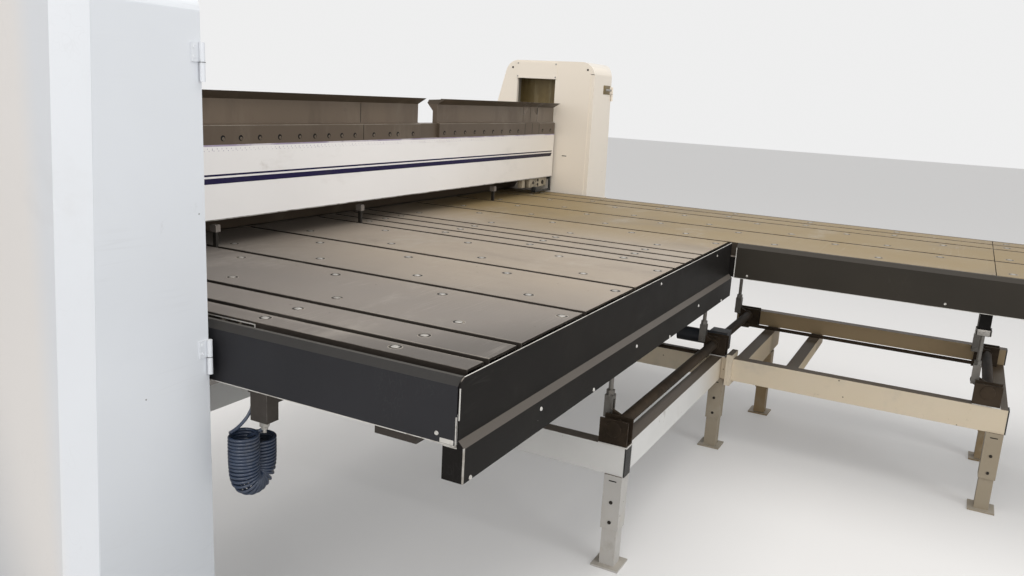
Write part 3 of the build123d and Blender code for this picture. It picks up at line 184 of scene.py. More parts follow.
class SurfaceEffects:
    """The shader node groups that several finishes share, each built once.

    Each group takes a vector and the values below, and gives a mask. The method that draws it
    has the group's name.
    """

    INPUTS = {
        "edge_wear": {"Radius": 0.003, "Breakup": 45.0},
        "smudges": {"Scale": 3.0, "Low": 0.5, "High": 0.7},
        "scratches": {"Scale": 14.0},
        "specks": {"Scale": 60.0, "Size": 0.2, "Share": 0.3},
        "settled_dirt": {"Scale": 8.0, "Cover": 0.5},
        "grime_and_shade": {"Scale": 6.0},
        "ramp": {"Direction": None, "Start": 0.0, "End": 1.0, "Breakup": 0.2, "Scale": 2.0},
    }
    SCRATCH_FIELDS = (
        (0.35, (0.05, 2.4, 1.0)), (-1.1, (0.07, 3.1, 1.0)), (1.9, (0.04, 1.9, 1.0)))

    def __init__(self) -> None:
        """Build every group."""
        self.groups = {name: self._group(name) for name in self.INPUTS}

    def _group(self, name: str) -> bpy.types.NodeTree:
        """Build the group of this name with its sockets."""
        tree = bpy.data.node_groups.new(name, "ShaderNodeTree")
        for label, value in {"Vector": None, **self.INPUTS[name]}.items():
            kind = "NodeSocketVector" if value is None else "NodeSocketFloat"
            socket = tree.interface.new_socket(name=label, in_out="INPUT", socket_type=kind)
            if value is not None:
                socket.default_value = value
        tree.interface.new_socket(name="Mask", in_out="OUTPUT", socket_type="NodeSocketFloat")
        graph = Graph(tree)
        mask = getattr(self, name)(graph, graph.add("NodeGroupInput").outputs)
        graph.add("NodeGroupOutput", {"Mask": mask})
        return tree

    def edge_wear(self, g: Graph, given):
        """Rubbed edges: where the rounded normal leaves the true one, broken up by noise."""
        rounded = g.add("ShaderNodeBevel", {"Radius": given["Radius"]}, samples=6).outputs[0]
        bend = g.remap(g.math("SUBTRACT", 1.0, g.dot(rounded, g.normal())), 0.01, 0.16)
        breakup = g.remap(g.noise(given["Vector"], given["Breakup"], 5.0, 0.65), 0.42, 0.62)
        return g.math("MULTIPLY", bend, breakup)

    def smudges(self, g: Graph, given):
        """Soft clouds of dirt, with a fine break-up inside them."""
        cloud = g.noise(given["Vector"], given["Scale"], 6.0, 0.62, 0.3)
        fine = g.noise(given["Vector"], g.math("MULTIPLY", given["Scale"], 9.0), 4.0, 0.6)
        both = g.math("ADD", cloud, g.math("MULTIPLY", g.math("SUBTRACT", fine, 0.5), 0.22))
        return g.remap(both, given["Low"], given["High"])

    def scratches(self, g: Graph, given):
        """Thin lines along three leaning directions, kept to patches."""
        drawn = 0.0
        for turn, pull in self.SCRATCH_FIELDS:
            lines = g.noise(g.stretch(given["Vector"], pull, (0.2, 0.1, turn)),
                            g.math("MULTIPLY", given["Scale"], 3.0), 2.0, 0.5)
            line = g.math("ABSOLUTE", g.math("SUBTRACT", lines, 0.5))
            drawn = g.math("MAXIMUM", drawn, g.remap(line, 0.0, 0.008, 1.0, 0.0))
        patch = g.remap(g.noise(given["Vector"], given["Scale"], 3.0), 0.5, 0.72)
        return g.math("MULTIPLY", drawn, patch)

    def specks(self, g: Graph, given):
        """Small round spots of different sizes, most cells left empty."""
        inputs = {name: given[name] for name in ("Vector", "Scale")}
        cells = g.add("ShaderNodeTexVoronoi", inputs).outputs
        pick = g.add("ShaderNodeSeparateColor", {0: cells["Color"]}).outputs
        size = g.math("MULTIPLY", given["Size"], pick[1])
        near = g.math("LESS_THAN", cells["Distance"], size)
        return g.math("MULTIPLY", near, g.math("LESS_THAN", pick[0], given["Share"]))

    def settled_dirt(self, g: Graph, given):
        """Dirt that settles on faces that look up, rubbed off in patches."""
        cloud = g.noise(given["Vector"], given["Scale"], 7.0, 0.62)
        low = g.math("MULTIPLY", g.math("SUBTRACT", 1.0, given["Cover"]), 0.5)
        patch = g.remap(g.math("SUBTRACT", cloud, low), 0.18, 0.3)
        return g.math("MULTIPLY", g.remap(g.upward(), 0.55, 0.85), patch)

    def grime_and_shade(self, g: Graph, given):
        """Faces that look sideways or down, where grime stays, together with painted shade on walls
        such as those of the table slots.
        """
        cloud = g.remap(g.noise(given["Vector"], given["Scale"], 4.0), 0.2, 0.5, 0.75, 1.0)
        return g.math("MULTIPLY", g.remap(g.upward(), 0.3, 0.6, 1.0, 0.0), cloud)

    def ramp(self, g: Graph, given):
        """A slow change along one direction, its border broken up by noise."""
        cloud = g.math("SUBTRACT", g.noise(given["Vector"], given["Scale"], 5.0), 0.5)
        place = g.math("ADD", g.dot(given["Vector"], given["Direction"]),
                       g.math("MULTIPLY", cloud, given["Breakup"]))
        return g.remap(place, given["Start"], given["End"])


@dataclass(frozen=True)
class Layer:
    """One colour laid over a finish through a mask from a shared effect."""

    effect: str
    colour: Colour
    amount: float
    values: dict[str, float | Point]
    stretch: Point = (1.0, 1.0, 1.0)
    roughness: float | None = None


@dataclass(frozen=True)
class Finish:
    """One finish of the machine: a base, its layers of wear and dirt, and its fine relief."""

    name: str
    colour: Colour
    roughness: float
    metallic: float = 0.0
    tone: float = 0.12
    tone_scale: float = 2.0
    coat: float = 0.0
    specular: float = 0.5
    grain: float = 0.2
    grain_scale: float = 900.0
    grain_stretch: Point = (1.0, 1.0, 1.0)
    layers: tuple[Layer, ...] = ()

    def build(self, effects: SurfaceEffects) -> bpy.types.Material:
        """Make the material.

        Args:
            effects: The shared shader groups.

        Returns:
            The finished material.
        """
        material = bpy.data.materials.new(self.name)
        material.use_nodes = True
        material.node_tree.nodes.clear()
        g = Graph(material.node_tree)
        place = g.add("ShaderNodeTexCoord").outputs["Object"]
        tone = g.noise(place, self.tone_scale, 5.0, 0.6)
        light = tuple(min(1.0, c * (1 + self.tone)) for c in self.colour)
        dark = tuple(c * (1 - self.tone) for c in self.colour)
        colour = g.mix(g.remap(tone, 0.3, 0.7), dark, light)
        roughness = g.remap(tone, 0.3, 0.7, self.roughness - 0.05, self.roughness + 0.05)
        for layer in self.layers:
            mask = self._mask(g, effects, layer, place)
            colour = g.mix(mask, colour, layer.colour)
            if layer.roughness is not None:
                inputs = {0: mask, 2: roughness, 3: layer.roughness}
                roughness = g.add("ShaderNodeMix", inputs, data_type="FLOAT").outputs[0]
        grain = g.noise(g.stretch(place, self.grain_stretch), self.grain_scale, 3.0, 0.6)
        bump = g.add("ShaderNodeBump", {"Strength": self.grain, "Distance": 0.001, "Height": grain})
        inputs = {"Base Color": colour, "Roughness": roughness, "Metallic": self.metallic,
                  "Coat Weight": self.coat, "Coat Roughness": 0.2,
                  "Specular IOR Level": self.specular, "Normal": bump.outputs[0]}
        shader = g.add("ShaderNodeBsdfPrincipled", inputs)
        g.add("ShaderNodeOutputMaterial", {"Surface": shader.outputs[0]})
        return material

    @staticmethod
    def _mask(g: Graph, effects: SurfaceEffects, layer: Layer, place):
        """The strength of one layer over the surface."""
        inputs = {"Vector": g.stretch(place, layer.stretch), **layer.values}
        group = g.add("ShaderNodeGroup", inputs, node_tree=effects.groups[layer.effect])
        return g.math("MULTIPLY", group.outputs["Mask"], layer.amount, clamp=True)


def layer(effect: str, colour: Colour, amount: float, *values: float | Point,
          **more: float | Point) -> Layer:
    """A layer of one of the shared effects.

    Args:
        effect: The effect's name.
        colour: The colour that it lays.
        amount: Its strength.
        values: The effect's inputs in their order, then the layer's stretch and roughness.
        more: The layer's stretch or roughness by name.

    Returns:
        The layer, with the effect's own defaults for inputs that aren't given.
    """
    inputs = SurfaceEffects.INPUTS[effect]
    given = {**inputs, **dict(zip(inputs, values))}
    return Layer(effect, colour, amount, given, *values[len(inputs):], **more)


edge = partial(layer, "edge_wear")
smudge = partial(layer, "smudges")
scratched = partial(layer, "scratches")
specks = partial(layer, "specks")
settled = partial(layer, "settled_dirt")
grime_and_shade = partial(layer, "grime_and_shade")
ramp = partial(layer, "ramp")


def new_finish(name: str, colour: Colour, roughness: float, *layers: Layer, **settings) -> Finish:
    """A finish with its layers given one after another."""
    return Finish(name, colour, roughness, layers=layers, **settings)


def variant(base: Finish, name: str, *layers: Layer, **changes) -> Finish:
    """Another finish with layers of its own, or the same ones where none are given."""
    return replace(base, name=name, layers=layers or base.layers, **changes)


TO_FAR = (-1.0, 0.0, 0.0)
UP = (0.0, 0.0, 1.0)

HOUSING_WHITE = new_finish(
    "housing_white", (0.665, 0.69, 0.725), 0.4,
    ramp((0.81, 0.735, 0.63), 0.95, TO_FAR, 1.0, 1.55, 0.1),
    smudge((0.57, 0.575, 0.585), 0.35, 2.6, 0.56, 0.8),
    smudge((0.42, 0.42, 0.43), 0.45, 8.0, 0.66, 0.8, (1.0, 1.0, 0.7)),
    scratched((0.4, 0.4, 0.41), 0.1, 4.0),
    specks((0.12, 0.115, 0.11), 0.8, 26.0, 0.075, 0.07),
    settled((0.6, 0.585, 0.55), 0.4, 5.0, 0.5),
    tone=0.018, tone_scale=1.3, grain=0.07, grain_scale=320.0, coat=0.15)
DOOR_NEAR = variant(
    HOUSING_WHITE, "door_white_near",
    ramp((0.545, 0.57, 0.6), 0.85, (0.0, 0.0, -1.0), -1.0, -0.25, 0.15),
    *HOUSING_WHITE.layers[1:])
HOUSING_NEAR = variant(
    HOUSING_WHITE, "housing_white_near",
    # warmer on the near housing's outer side than on its rear face: painted warm side light
    ramp((0.735, 0.705, 0.675), 0.8, (1.0, -0.6, 0.0), 2.26, 2.31, 0.0),
    ramp((0.4, 0.435, 0.475), 0.8, (0.0, -3.0, -1.0), 1.25, 2.25, 0.15),
    *HOUSING_WHITE.layers[1:])
BEAM_WHITE = new_finish(
    "beam_white", (0.85, 0.83, 0.815), 0.38,
    ramp((0.72, 0.665, 0.59), 0.9, TO_FAR, 0.2, 1.5, 0.3),
    smudge((0.6, 0.565, 0.52), 0.4, 2.5, 0.54, 0.76, (1.0, 1.0, 2.0)),
    smudge((0.44, 0.4, 0.35), 0.35, 9.0, 0.66, 0.8),
    specks((0.14, 0.12, 0.1), 0.8, 30.0, 0.08, 0.06),
    settled((0.34, 0.31, 0.27), 0.6, 9.0, 0.97),
    edge((0.36, 0.34, 0.31), 0.5, 0.002),
    tone=0.02, tone_scale=1.2, grain=0.07, grain_scale=320.0, coat=0.15)
SUPPORT_WHITE = new_finish(
    "support_white", (0.66, 0.655, 0.635), 0.5,
    ramp((0.59, 0.45, 0.25), 0.9, TO_FAR, 0.2, 1.0, 0.2),
    ramp((0.28, 0.2, 0.11), 0.8, TO_FAR, 1.2, 1.27, 0.05),
    smudge((0.44, 0.4, 0.33), 0.5, 3.0, 0.52, 0.76),
    smudge((0.2, 0.16, 0.11), 0.5, 16.0, 0.66, 0.78),
    specks((0.1, 0.075, 0.05), 0.85, 40.0, 0.16, 0.14),
    settled((0.088, 0.06, 0.036), 0.86, 14.0, 0.99),
    edge((0.16, 0.13, 0.1), 0.6, 0.0025),
    tone=0.04, tone_scale=3.0, grain=0.12, grain_scale=320.0, specular=0.28)
LEG_WHITE = variant(
    SUPPORT_WHITE, "leg_white",
    ramp((0.225, 0.16, 0.068), 0.95, TO_FAR, 0.2, 1.0, 0.2),
    *SUPPORT_WHITE.layers[1:],
    colour=(0.47, 0.455, 0.43))
FOOT_WHITE = variant(
    LEG_WHITE, "foot_white",
    *LEG_WHITE.layers[:4],
    smudge((0.26, 0.22, 0.17), 0.35, 12.0, 0.5, 0.72),
    settled((0.4, 0.36, 0.3), 0.6, 9.0, 0.8))
SKIRT_CHARCOAL = new_finish(
    "skirt_charcoal", (0.0085, 0.0075, 0.0068), 0.5,
    smudge((0.022, 0.019, 0.016), 0.4, 3.5, 0.54, 0.8),
    smudge((0.045, 0.04, 0.034), 0.3, 11.0, 0.66, 0.8),
    scratched((0.13, 0.125, 0.12), 0.1, 6.0),
    specks((0.35, 0.33, 0.3), 0.7, 45.0, 0.07, 0.05),
    settled((0.225, 0.198, 0.172), 0.85, 14.0, 0.99),
    tone=0.15, grain_scale=600.0, specular=0.1)
SIDE_CHARCOAL = variant(
    SKIRT_CHARCOAL, "side_charcoal",
    *SKIRT_CHARCOAL.layers[:4],
    settled((0.046, 0.042, 0.035), 0.85, 14.0, 0.95),
    colour=(0.021, 0.021, 0.024), specular=0.2)
INNER_CHARCOAL = variant(
    SIDE_CHARCOAL, "inner_charcoal",
    *SKIRT_CHARCOAL.layers[:4],
    settled((0.036, 0.031, 0.025), 0.85, 14.0, 0.95),
    colour=(0.027, 0.0225, 0.0165))
DARK_PAINT = new_finish(
    "dark_paint", (0.035, 0.038, 0.044), 0.45,
    smudge((0.07, 0.06, 0.05), 0.5, 6.0, 0.5, 0.7),
    edge((0.22, 0.21, 0.2), 0.5, 0.002),
    tone=0.1, grain_scale=500.0, specular=0.35)
BROWN_STEEL = new_finish(
    "brown_steel", (0.046, 0.033, 0.022), 0.6,
    smudge((0.018, 0.013, 0.009), 0.7, 7.0, 0.45, 0.65),
    smudge((0.1, 0.066, 0.038), 0.5, 14.0, 0.57, 0.74),
    smudge((0.3, 0.27, 0.22), 0.4, 30.0, 0.68, 0.76),
    edge((0.2, 0.165, 0.13), 0.6, 0.0025),
    metallic=0.1, tone=0.2, tone_scale=5.0, grain=0.35, grain_scale=240.0, specular=0.08)
PLATE_STEEL = new_finish(
    "plate_steel", (0.205, 0.18, 0.158), 0.52,
    ramp((0.33, 0.275, 0.215), 0.95, TO_FAR, -1.15, -0.55, 0.35),
    ramp((0.243, 0.175, 0.078), 0.93, TO_FAR, 0.0, 0.75, 0.35),
    # darker towards the clamping beam: painted shadow cast by the beam on the table
    ramp((0.105, 0.096, 0.09), 0.75, (0.35, -1.0, 0.0), 0.78, 1.7, 0.25),
    ramp((0.115, 0.1, 0.088), 0.6, (1.0, 0.0, 0.0), 1.45, 1.47, 0.0),
    ramp((0.07, 0.062, 0.054), 0.75, (0.6, 1.0, 0.0), 0.6, 0.92, 0.15),
    smudge((0.15, 0.125, 0.105), 0.45, 2.4, 0.5, 0.76, (1.0, 0.55, 1.0), 0.55),
    smudge((0.37, 0.335, 0.29), 0.35, 3.6, 0.55, 0.78, (0.6, 1.2, 1.0), 0.42),
    scratched((0.46, 0.42, 0.37), 0.22, 3.5),
    specks((0.07, 0.055, 0.042), 0.7, 38.0, 0.12, 0.1),
    # grime and painted shade on the slot walls and other faces that look sideways or down
    grime_and_shade((0.03, 0.024, 0.019), 0.93),
    edge((0.5, 0.45, 0.39), 0.7, 0.0018, 18.0),
    metallic=0.15, tone=0.07, tone_scale=1.6, grain=0.16, grain_scale=150.0,
    grain_stretch=(6.0, 1.0, 1.0), specular=0.32)
EXTENSION_STEEL = variant(
    PLATE_STEEL, "extension_steel",
    smudge((0.24, 0.19, 0.135), 0.45, 2.6, 0.5, 0.76, (1.0, 0.55, 1.0), 0.55),
    scratched((0.52, 0.46, 0.37), 0.2, 3.5),
    specks((0.09, 0.07, 0.05), 0.7, 38.0, 0.12, 0.1),
    # grime and painted shade on the slot walls and other faces that look sideways or down
    grime_and_shade((0.04, 0.031, 0.022), 0.93),
    edge((0.52, 0.46, 0.37), 0.7, 0.0018, 18.0),
    colour=(0.245, 0.178, 0.085))
TOOL_STEEL = new_finish(
    "tool_steel", (0.148, 0.112, 0.08), 0.46,
    ramp((0.185, 0.155, 0.125), 0.8, TO_FAR, 0.6, 1.5, 0.3),
    ramp((0.088, 0.065, 0.046), 0.7, (0.0, 0.0, -1.0), -1.346, -1.343, 0.0),
    # darker at the tool tops above about 1427 mm: painted shadow on the toes of the tall tools
    ramp((0.05, 0.04, 0.027), 0.75, UP, 1.427, 1.43, 0.0),
    smudge((0.09, 0.067, 0.048), 0.6, 2.4, 0.44, 0.7, (1.6, 0.3, 0.6), 0.5),
    smudge((0.205, 0.17, 0.132), 0.4, 3.2, 0.52, 0.74, (1.3, 0.3, 0.5), 0.42),
    smudge((0.06, 0.047, 0.037), 0.6, 16.0, 0.7, 0.8),
    specks((0.05, 0.04, 0.03), 0.7, 45.0, 0.1, 0.08),
    edge((0.36, 0.32, 0.27), 0.5, 0.0014),
    metallic=0.25, tone=0.07, tone_scale=2.2, grain=0.18, grain_scale=240.0,
    grain_stretch=(1.0, 1.0, 5.0), specular=0.4)
BRIGHT_STEEL = new_finish(
    "bright_steel", (0.36, 0.35, 0.34), 0.34,
    smudge((0.14, 0.11, 0.085), 0.55, 6.0, 0.48, 0.72, roughness=0.5),
    edge((0.6, 0.59, 0.57), 0.5, 0.0015),
    metallic=0.8, tone=0.08, grain=0.15, grain_scale=300.0, grain_stretch=(1.0, 1.0, 6.0))
# Finger steel: the dark stems are painted shade under the beam together with dirt; the ramp gives
# the heads at the top their lighter colour.
FINGER_STEEL = new_finish(
    "finger_steel", (0.028, 0.024, 0.02), 0.5,
    ramp((0.21, 0.185, 0.165), 1.0, UP, 0.996, 0.999, 0.0),
    smudge((0.1, 0.085, 0.07), 0.4, 20.0, 0.5, 0.7),
    metallic=0.3, tone=0.1, specular=0.3)
OILY_BROWN = new_finish(
    "oily_brown", (0.19, 0.138, 0.055), 0.38,
    smudge((0.06, 0.042, 0.02), 0.6, 3.0, 0.5, 0.7, (1.0, 3.0, 0.6)),
    smudge((0.32, 0.26, 0.14), 0.6, 4.0, 0.54, 0.72, (1.0, 5.0, 0.4)),
    edge((0.3, 0.25, 0.15), 0.5, 0.002),
    metallic=0.25, tone=0.2, tone_scale=4.0)
ZINC = new_finish(
    "zinc", (0.36, 0.345, 0.32), 0.42,
    smudge((0.14, 0.115, 0.09), 0.55, 18.0, 0.5, 0.7, roughness=0.55),
    edge((0.62, 0.6, 0.56), 0.6, 0.0012),
    metallic=0.65, tone_scale=20.0, grain=0.15, grain_scale=500.0)
DULL_ZINC = variant(ZINC, "dull_zinc", colour=(0.175, 0.165, 0.15))
BLOCK_METAL = new_finish(
    "block_metal", (0.05, 0.041, 0.033), 0.42,
    smudge((0.035, 0.029, 0.023), 0.75, 9.0, 0.42, 0.66, roughness=0.5),
    edge((0.34, 0.32, 0.29), 0.6, 0.0015),
    metallic=0.4, grain_scale=350.0)
BLACK_PLASTIC = new_finish(
    "black_plastic", (0.022, 0.022, 0.021), 0.5,
    smudge((0.06, 0.055, 0.045), 0.5, 10.0, 0.5, 0.7),
    edge((0.16, 0.15, 0.14), 0.5, 0.002),
    tone=0.15, grain=0.4, specular=0.35)
EQUIPMENT_GREY = new_finish(
    "equipment_grey", (0.26, 0.275, 0.28), 0.45,
    smudge((0.1, 0.09, 0.08), 0.5, 5.0, 0.5, 0.7),
    edge((0.45, 0.45, 0.44), 0.5, 0.0015),
    tone=0.05, grain=0.25, grain_scale=500.0)
HOSE_BLUE = new_finish(
    "hose_blue", (0.029, 0.044, 0.079), 0.34,
    smudge((0.085, 0.09, 0.1), 0.5, 16.0, 0.5, 0.7, roughness=0.5),
    tone_scale=12.0, coat=0.25, grain=0.1, grain_scale=600.0)
BARE_EDGE = new_finish(
    "bare_edge", (0.58, 0.565, 0.53), 0.45,
    smudge((0.2, 0.175, 0.14), 0.75, 10.0, 0.5, 0.68),
    tone=0.08, tone_scale=9.0, grain_scale=400.0)
BRIGHT_EDGE = new_finish(
    "bright_edge", (0.33, 0.295, 0.25), 0.42,
    smudge((0.17, 0.145, 0.12), 0.9, 5.0, 0.4, 0.62),
    metallic=0.3, tone_scale=7.0, grain_scale=400.0)
STRIPE_NAVY = new_finish(
    "stripe_navy", (0.014, 0.011, 0.05), 0.45,
    ramp((0.03, 0.024, 0.03), 0.9, TO_FAR, 0.6, 1.5, 0.2),
    smudge((0.05, 0.045, 0.06), 0.4, 5.0, 0.5, 0.7),
    tone=0.08, grain=0.05, specular=0.12)
SCALE_VIOLET = new_finish(
    "scale_violet", (0.33, 0.28, 0.38), 0.5,
    smudge((0.66, 0.62, 0.64), 0.8, 6.0, 0.42, 0.6),
    tone=0.1, tone_scale=9.0, grain=0.05)
LIP_GREY = new_finish(
    "lip_grey", (0.3, 0.285, 0.265), 0.5,
    smudge((0.07, 0.058, 0.046), 0.85, 14.0, 0.46, 0.62),
    specks((0.03, 0.025, 0.02), 0.9, 60.0, 0.3, 0.3),
    tone_scale=9.0, grain=0.15)
DISH_BROWN = new_finish(
    "dish_brown", (0.022, 0.018, 0.014), 0.6,
    smudge((0.3, 0.26, 0.21), 0.8, 26.0, 0.56, 0.66),
    tone=0.2, tone_scale=12.0, specular=0.2)
LOCK_TAN = new_finish(
    "lock_tan", (0.42, 0.365, 0.27), 0.5,
    smudge((0.1, 0.08, 0.055), 0.9, 11.0, 0.46, 0.62),
    specks((0.03, 0.025, 0.02), 0.9, 50.0, 0.3, 0.3),
    tone=0.1, tone_scale=9.0, grain=0.15)
HOLE_BLACK = new_finish(
    "hole_black", (0.008, 0.007, 0.006), 0.7,
    smudge((0.022, 0.018, 0.014), 0.6, 30.0, 0.5, 0.7),
    tone=0.2, specular=0.2)

NODE_FINISHES = (
    (HOUSING_WHITE, "near_side_frame far_side_frame far_housing far_door door_hinges slot_covers"),
    (HOUSING_NEAR, "near_housing"),
    (DOOR_NEAR, "near_door"),
    (SUPPORT_WHITE, "lower_beam support_frame extension_support"),
    (LEG_WHITE, "leg_sleeves"),
    (FOOT_WHITE, "adjustable_feet"),
    (BEAM_WHITE, "clamping_beam_box rear_beam_cover front_beam_cover folding_beam_body "
                 "folding_arms"),
    (TOOL_STEEL, "lower_jaw tool_clamp_bar low_tool tall_tools folding_blade"),
    (BRIGHT_STEEL, "guide_rails lift_carriages lift_piston_rods bearing_blocks "
                   "clamp_piston_rods beam_journals"),
    (DARK_PAINT, "lift_cylinders fold_drives table_lift_motor clamp_cylinders turn_drive"),
    (EQUIPMENT_GREY, "housing_equipment"),
    (BROWN_STEEL, "main_shaft_brackets extension_shaft_brackets front_torque_shaft "
                  "rear_torque_shaft extension_torque_shaft front_pull_rod extension_pull_rod"),
    (PLATE_STEEL, "table_plates"),
    (EXTENSION_STEEL, "extension_plates"),
    (SKIRT_CHARCOAL, "table_frame extension_frame rear_skirt far_skirt extension_end_skirt"),
    (SIDE_CHARCOAL, "near_skirt"),
    (INNER_CHARCOAL, "extension_inner_skirt"),
    (BLACK_PLASTIC, "frame_end_caps"),
    (DISH_BROWN, "leg_bolts"),
    (DULL_ZINC, "lift_rods"),
    (BLOCK_METAL, "gauge_axes air_blocks gauge_bar finger_cylinders"),
    (FINGER_STEEL, "gauge_fingers"),
    (HOSE_BLUE, "coiled_air_hose"),
)


class FinishShop:
    """Makes each material once and hands it out."""

    def __init__(self) -> None:
        """Build the shared effects; the materials follow when they are asked for."""
        self.effects = SurfaceEffects()
        self.made: dict[str, bpy.types.Material] = {}

    def dress(self, obj: bpy.types.Object, finish: Finish) -> None:
        """Give a whole object one finish."""
        if finish.name not in self.made:
            self.made[finish.name] = finish.build(self.effects)
        obj.data.materials.clear()
        obj.data.materials.append(self.made[finish.name])

    def dress_nodes(self) -> None:
        """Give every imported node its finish."""
        for finish, names in NODE_FINISHES:
            for name in names.split():
                self.dress(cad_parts[name], finish)


# Meshes


class Piece:
    """A mesh in the making, in millimetres from the fold line."""

    def __init__(self, name: str, finish: Finish, body: Body, slot: Slot,
                 smooth: float | None = SMOOTH_ANGLE) -> None:
        """Start an empty mesh.

        Args:
            name: The name of the piece.
            finish: Its finish.
            body: The body that it rides on.
            slot: The record's slot of its finish; not used.
            smooth: The largest angle that is shaded smooth, in degrees, or None for flat.
        """
        self.name, self.finish, self.body, self.slot = name, finish, body, slot
        self.smooth = smooth
        self.mesh = bmesh.new()

    def _bevel(self, edges: set, width: float, **settings) -> None:
        """Round these edges."""
        bmesh.ops.bevel(self.mesh, geom=list(edges), offset=width, segments=2, profile=0.5,
                        affect="EDGES", material=-1, **settings)

    def block(self, one: Point, other: Point, bevel: float = 0.0, lean: float = 0.0) -> None:
        """Add a block between two opposite corners.

        Args:
            one: The first corner.
            other: The corner across from it.
            bevel: How far its edges are rounded.
            lean: How far it leans along X for each millimetre of height.
        """
        a, b = Vector(one), Vector(other)
        size = Vector([abs(u - v) for u, v in zip(a, b)])
        place = Matrix.Translation((a + b) / 2) @ Matrix.Diagonal((*size, 1.0))
        verts = bmesh.ops.create_cube(self.mesh, size=1.0, matrix=place)["verts"]
        if lean:
            tilt = Matrix.Identity(4)
            tilt[0][2] = lean
            bmesh.ops.transform(self.mesh, verts=verts, matrix=tilt)
        if bevel:
            self._bevel({e for v in verts for e in v.link_edges}, bevel, clamp_overlap=True)

    def blocks(self, *rows: tuple[float, ...]) -> None:
        """Add plain blocks, each row holding two opposite corners."""
        for row in rows:
            self.block(row[:3], row[3:])

    def _cone(self, start: Vector, end: Vector, radius: float, end_radius: float,
              sides: int) -> list:
        """Add a round bar between two points and return its vertices."""
        place = Matrix.Translation((start + end) / 2) @ looking(end - start)
        return bmesh.ops.create_cone(self.mesh, cap_ends=True, segments=sides, radius1=radius,
                                     radius2=end_radius, depth=(end - start).length,
                                     matrix=place)["verts"]

    def rod(self, start: Point, end: Point, radius: float, sides: int = 16,
            bevel: float = 0.0, end_radius: float | None = None) -> None:
        """Add a round or many-sided bar between two points."""
        last = radius if end_radius is None else end_radius
        verts = self._cone(Vector(start), Vector(end), radius, last, sides)
        if bevel:
            edges = {e for v in verts for e in v.link_edges if len(e.link_faces) == 2}
            self._bevel({e for e in edges if any(len(f.verts) > 4 for f in e.link_faces)}, bevel)

    def button_screw(self, seat: Point, out: Point, radius: float, height: float) -> None:
        """Add a round screw head with a sunk socket, on its seat and looking out."""
        base, axis = Vector(seat), Vector(out).normalized()
        verts = self._cone(base, base + axis * height, radius, radius * 0.72, 12)
        tops = [f for f in {f for v in verts for f in v.link_faces}
                if len(f.verts) == 12 and f.normal.dot(axis) > 0.9]
        bmesh.ops.inset_region(self.mesh, faces=tops, thickness=radius * 0.34, depth=0.0)
        bmesh.ops.translate(self.mesh, verts=list({v for f in tops for v in f.verts}),
                            vec=-axis * height * 0.6)

    def finished(self, shop: FinishShop) -> None:
        """Turn the mesh into a piece that rides on its body."""
        bmesh.ops.transform(self.mesh, verts=self.mesh.verts,
                            matrix=Matrix.Translation((0, FOLD_LINE_Y, 0))
                            @ Matrix.Scale(MILLIMETRE, 4))
        data = bpy.data.meshes.new(self.name)
        self.mesh.to_mesh(data)
        self.mesh.free()
        if self.smooth is not None:
            data.shade_smooth()
            data.set_sharp_from_angle(angle=math.radians(self.smooth))
        obj = linked(self.name, data)
        shop.dress(obj, self.finish)
        body, slot = self.body, self.slot
        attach(obj, body.value)
        log.info("%s: %d faces on %s", self.name, len(data.polygons), body.value)


# Camera, light and floor


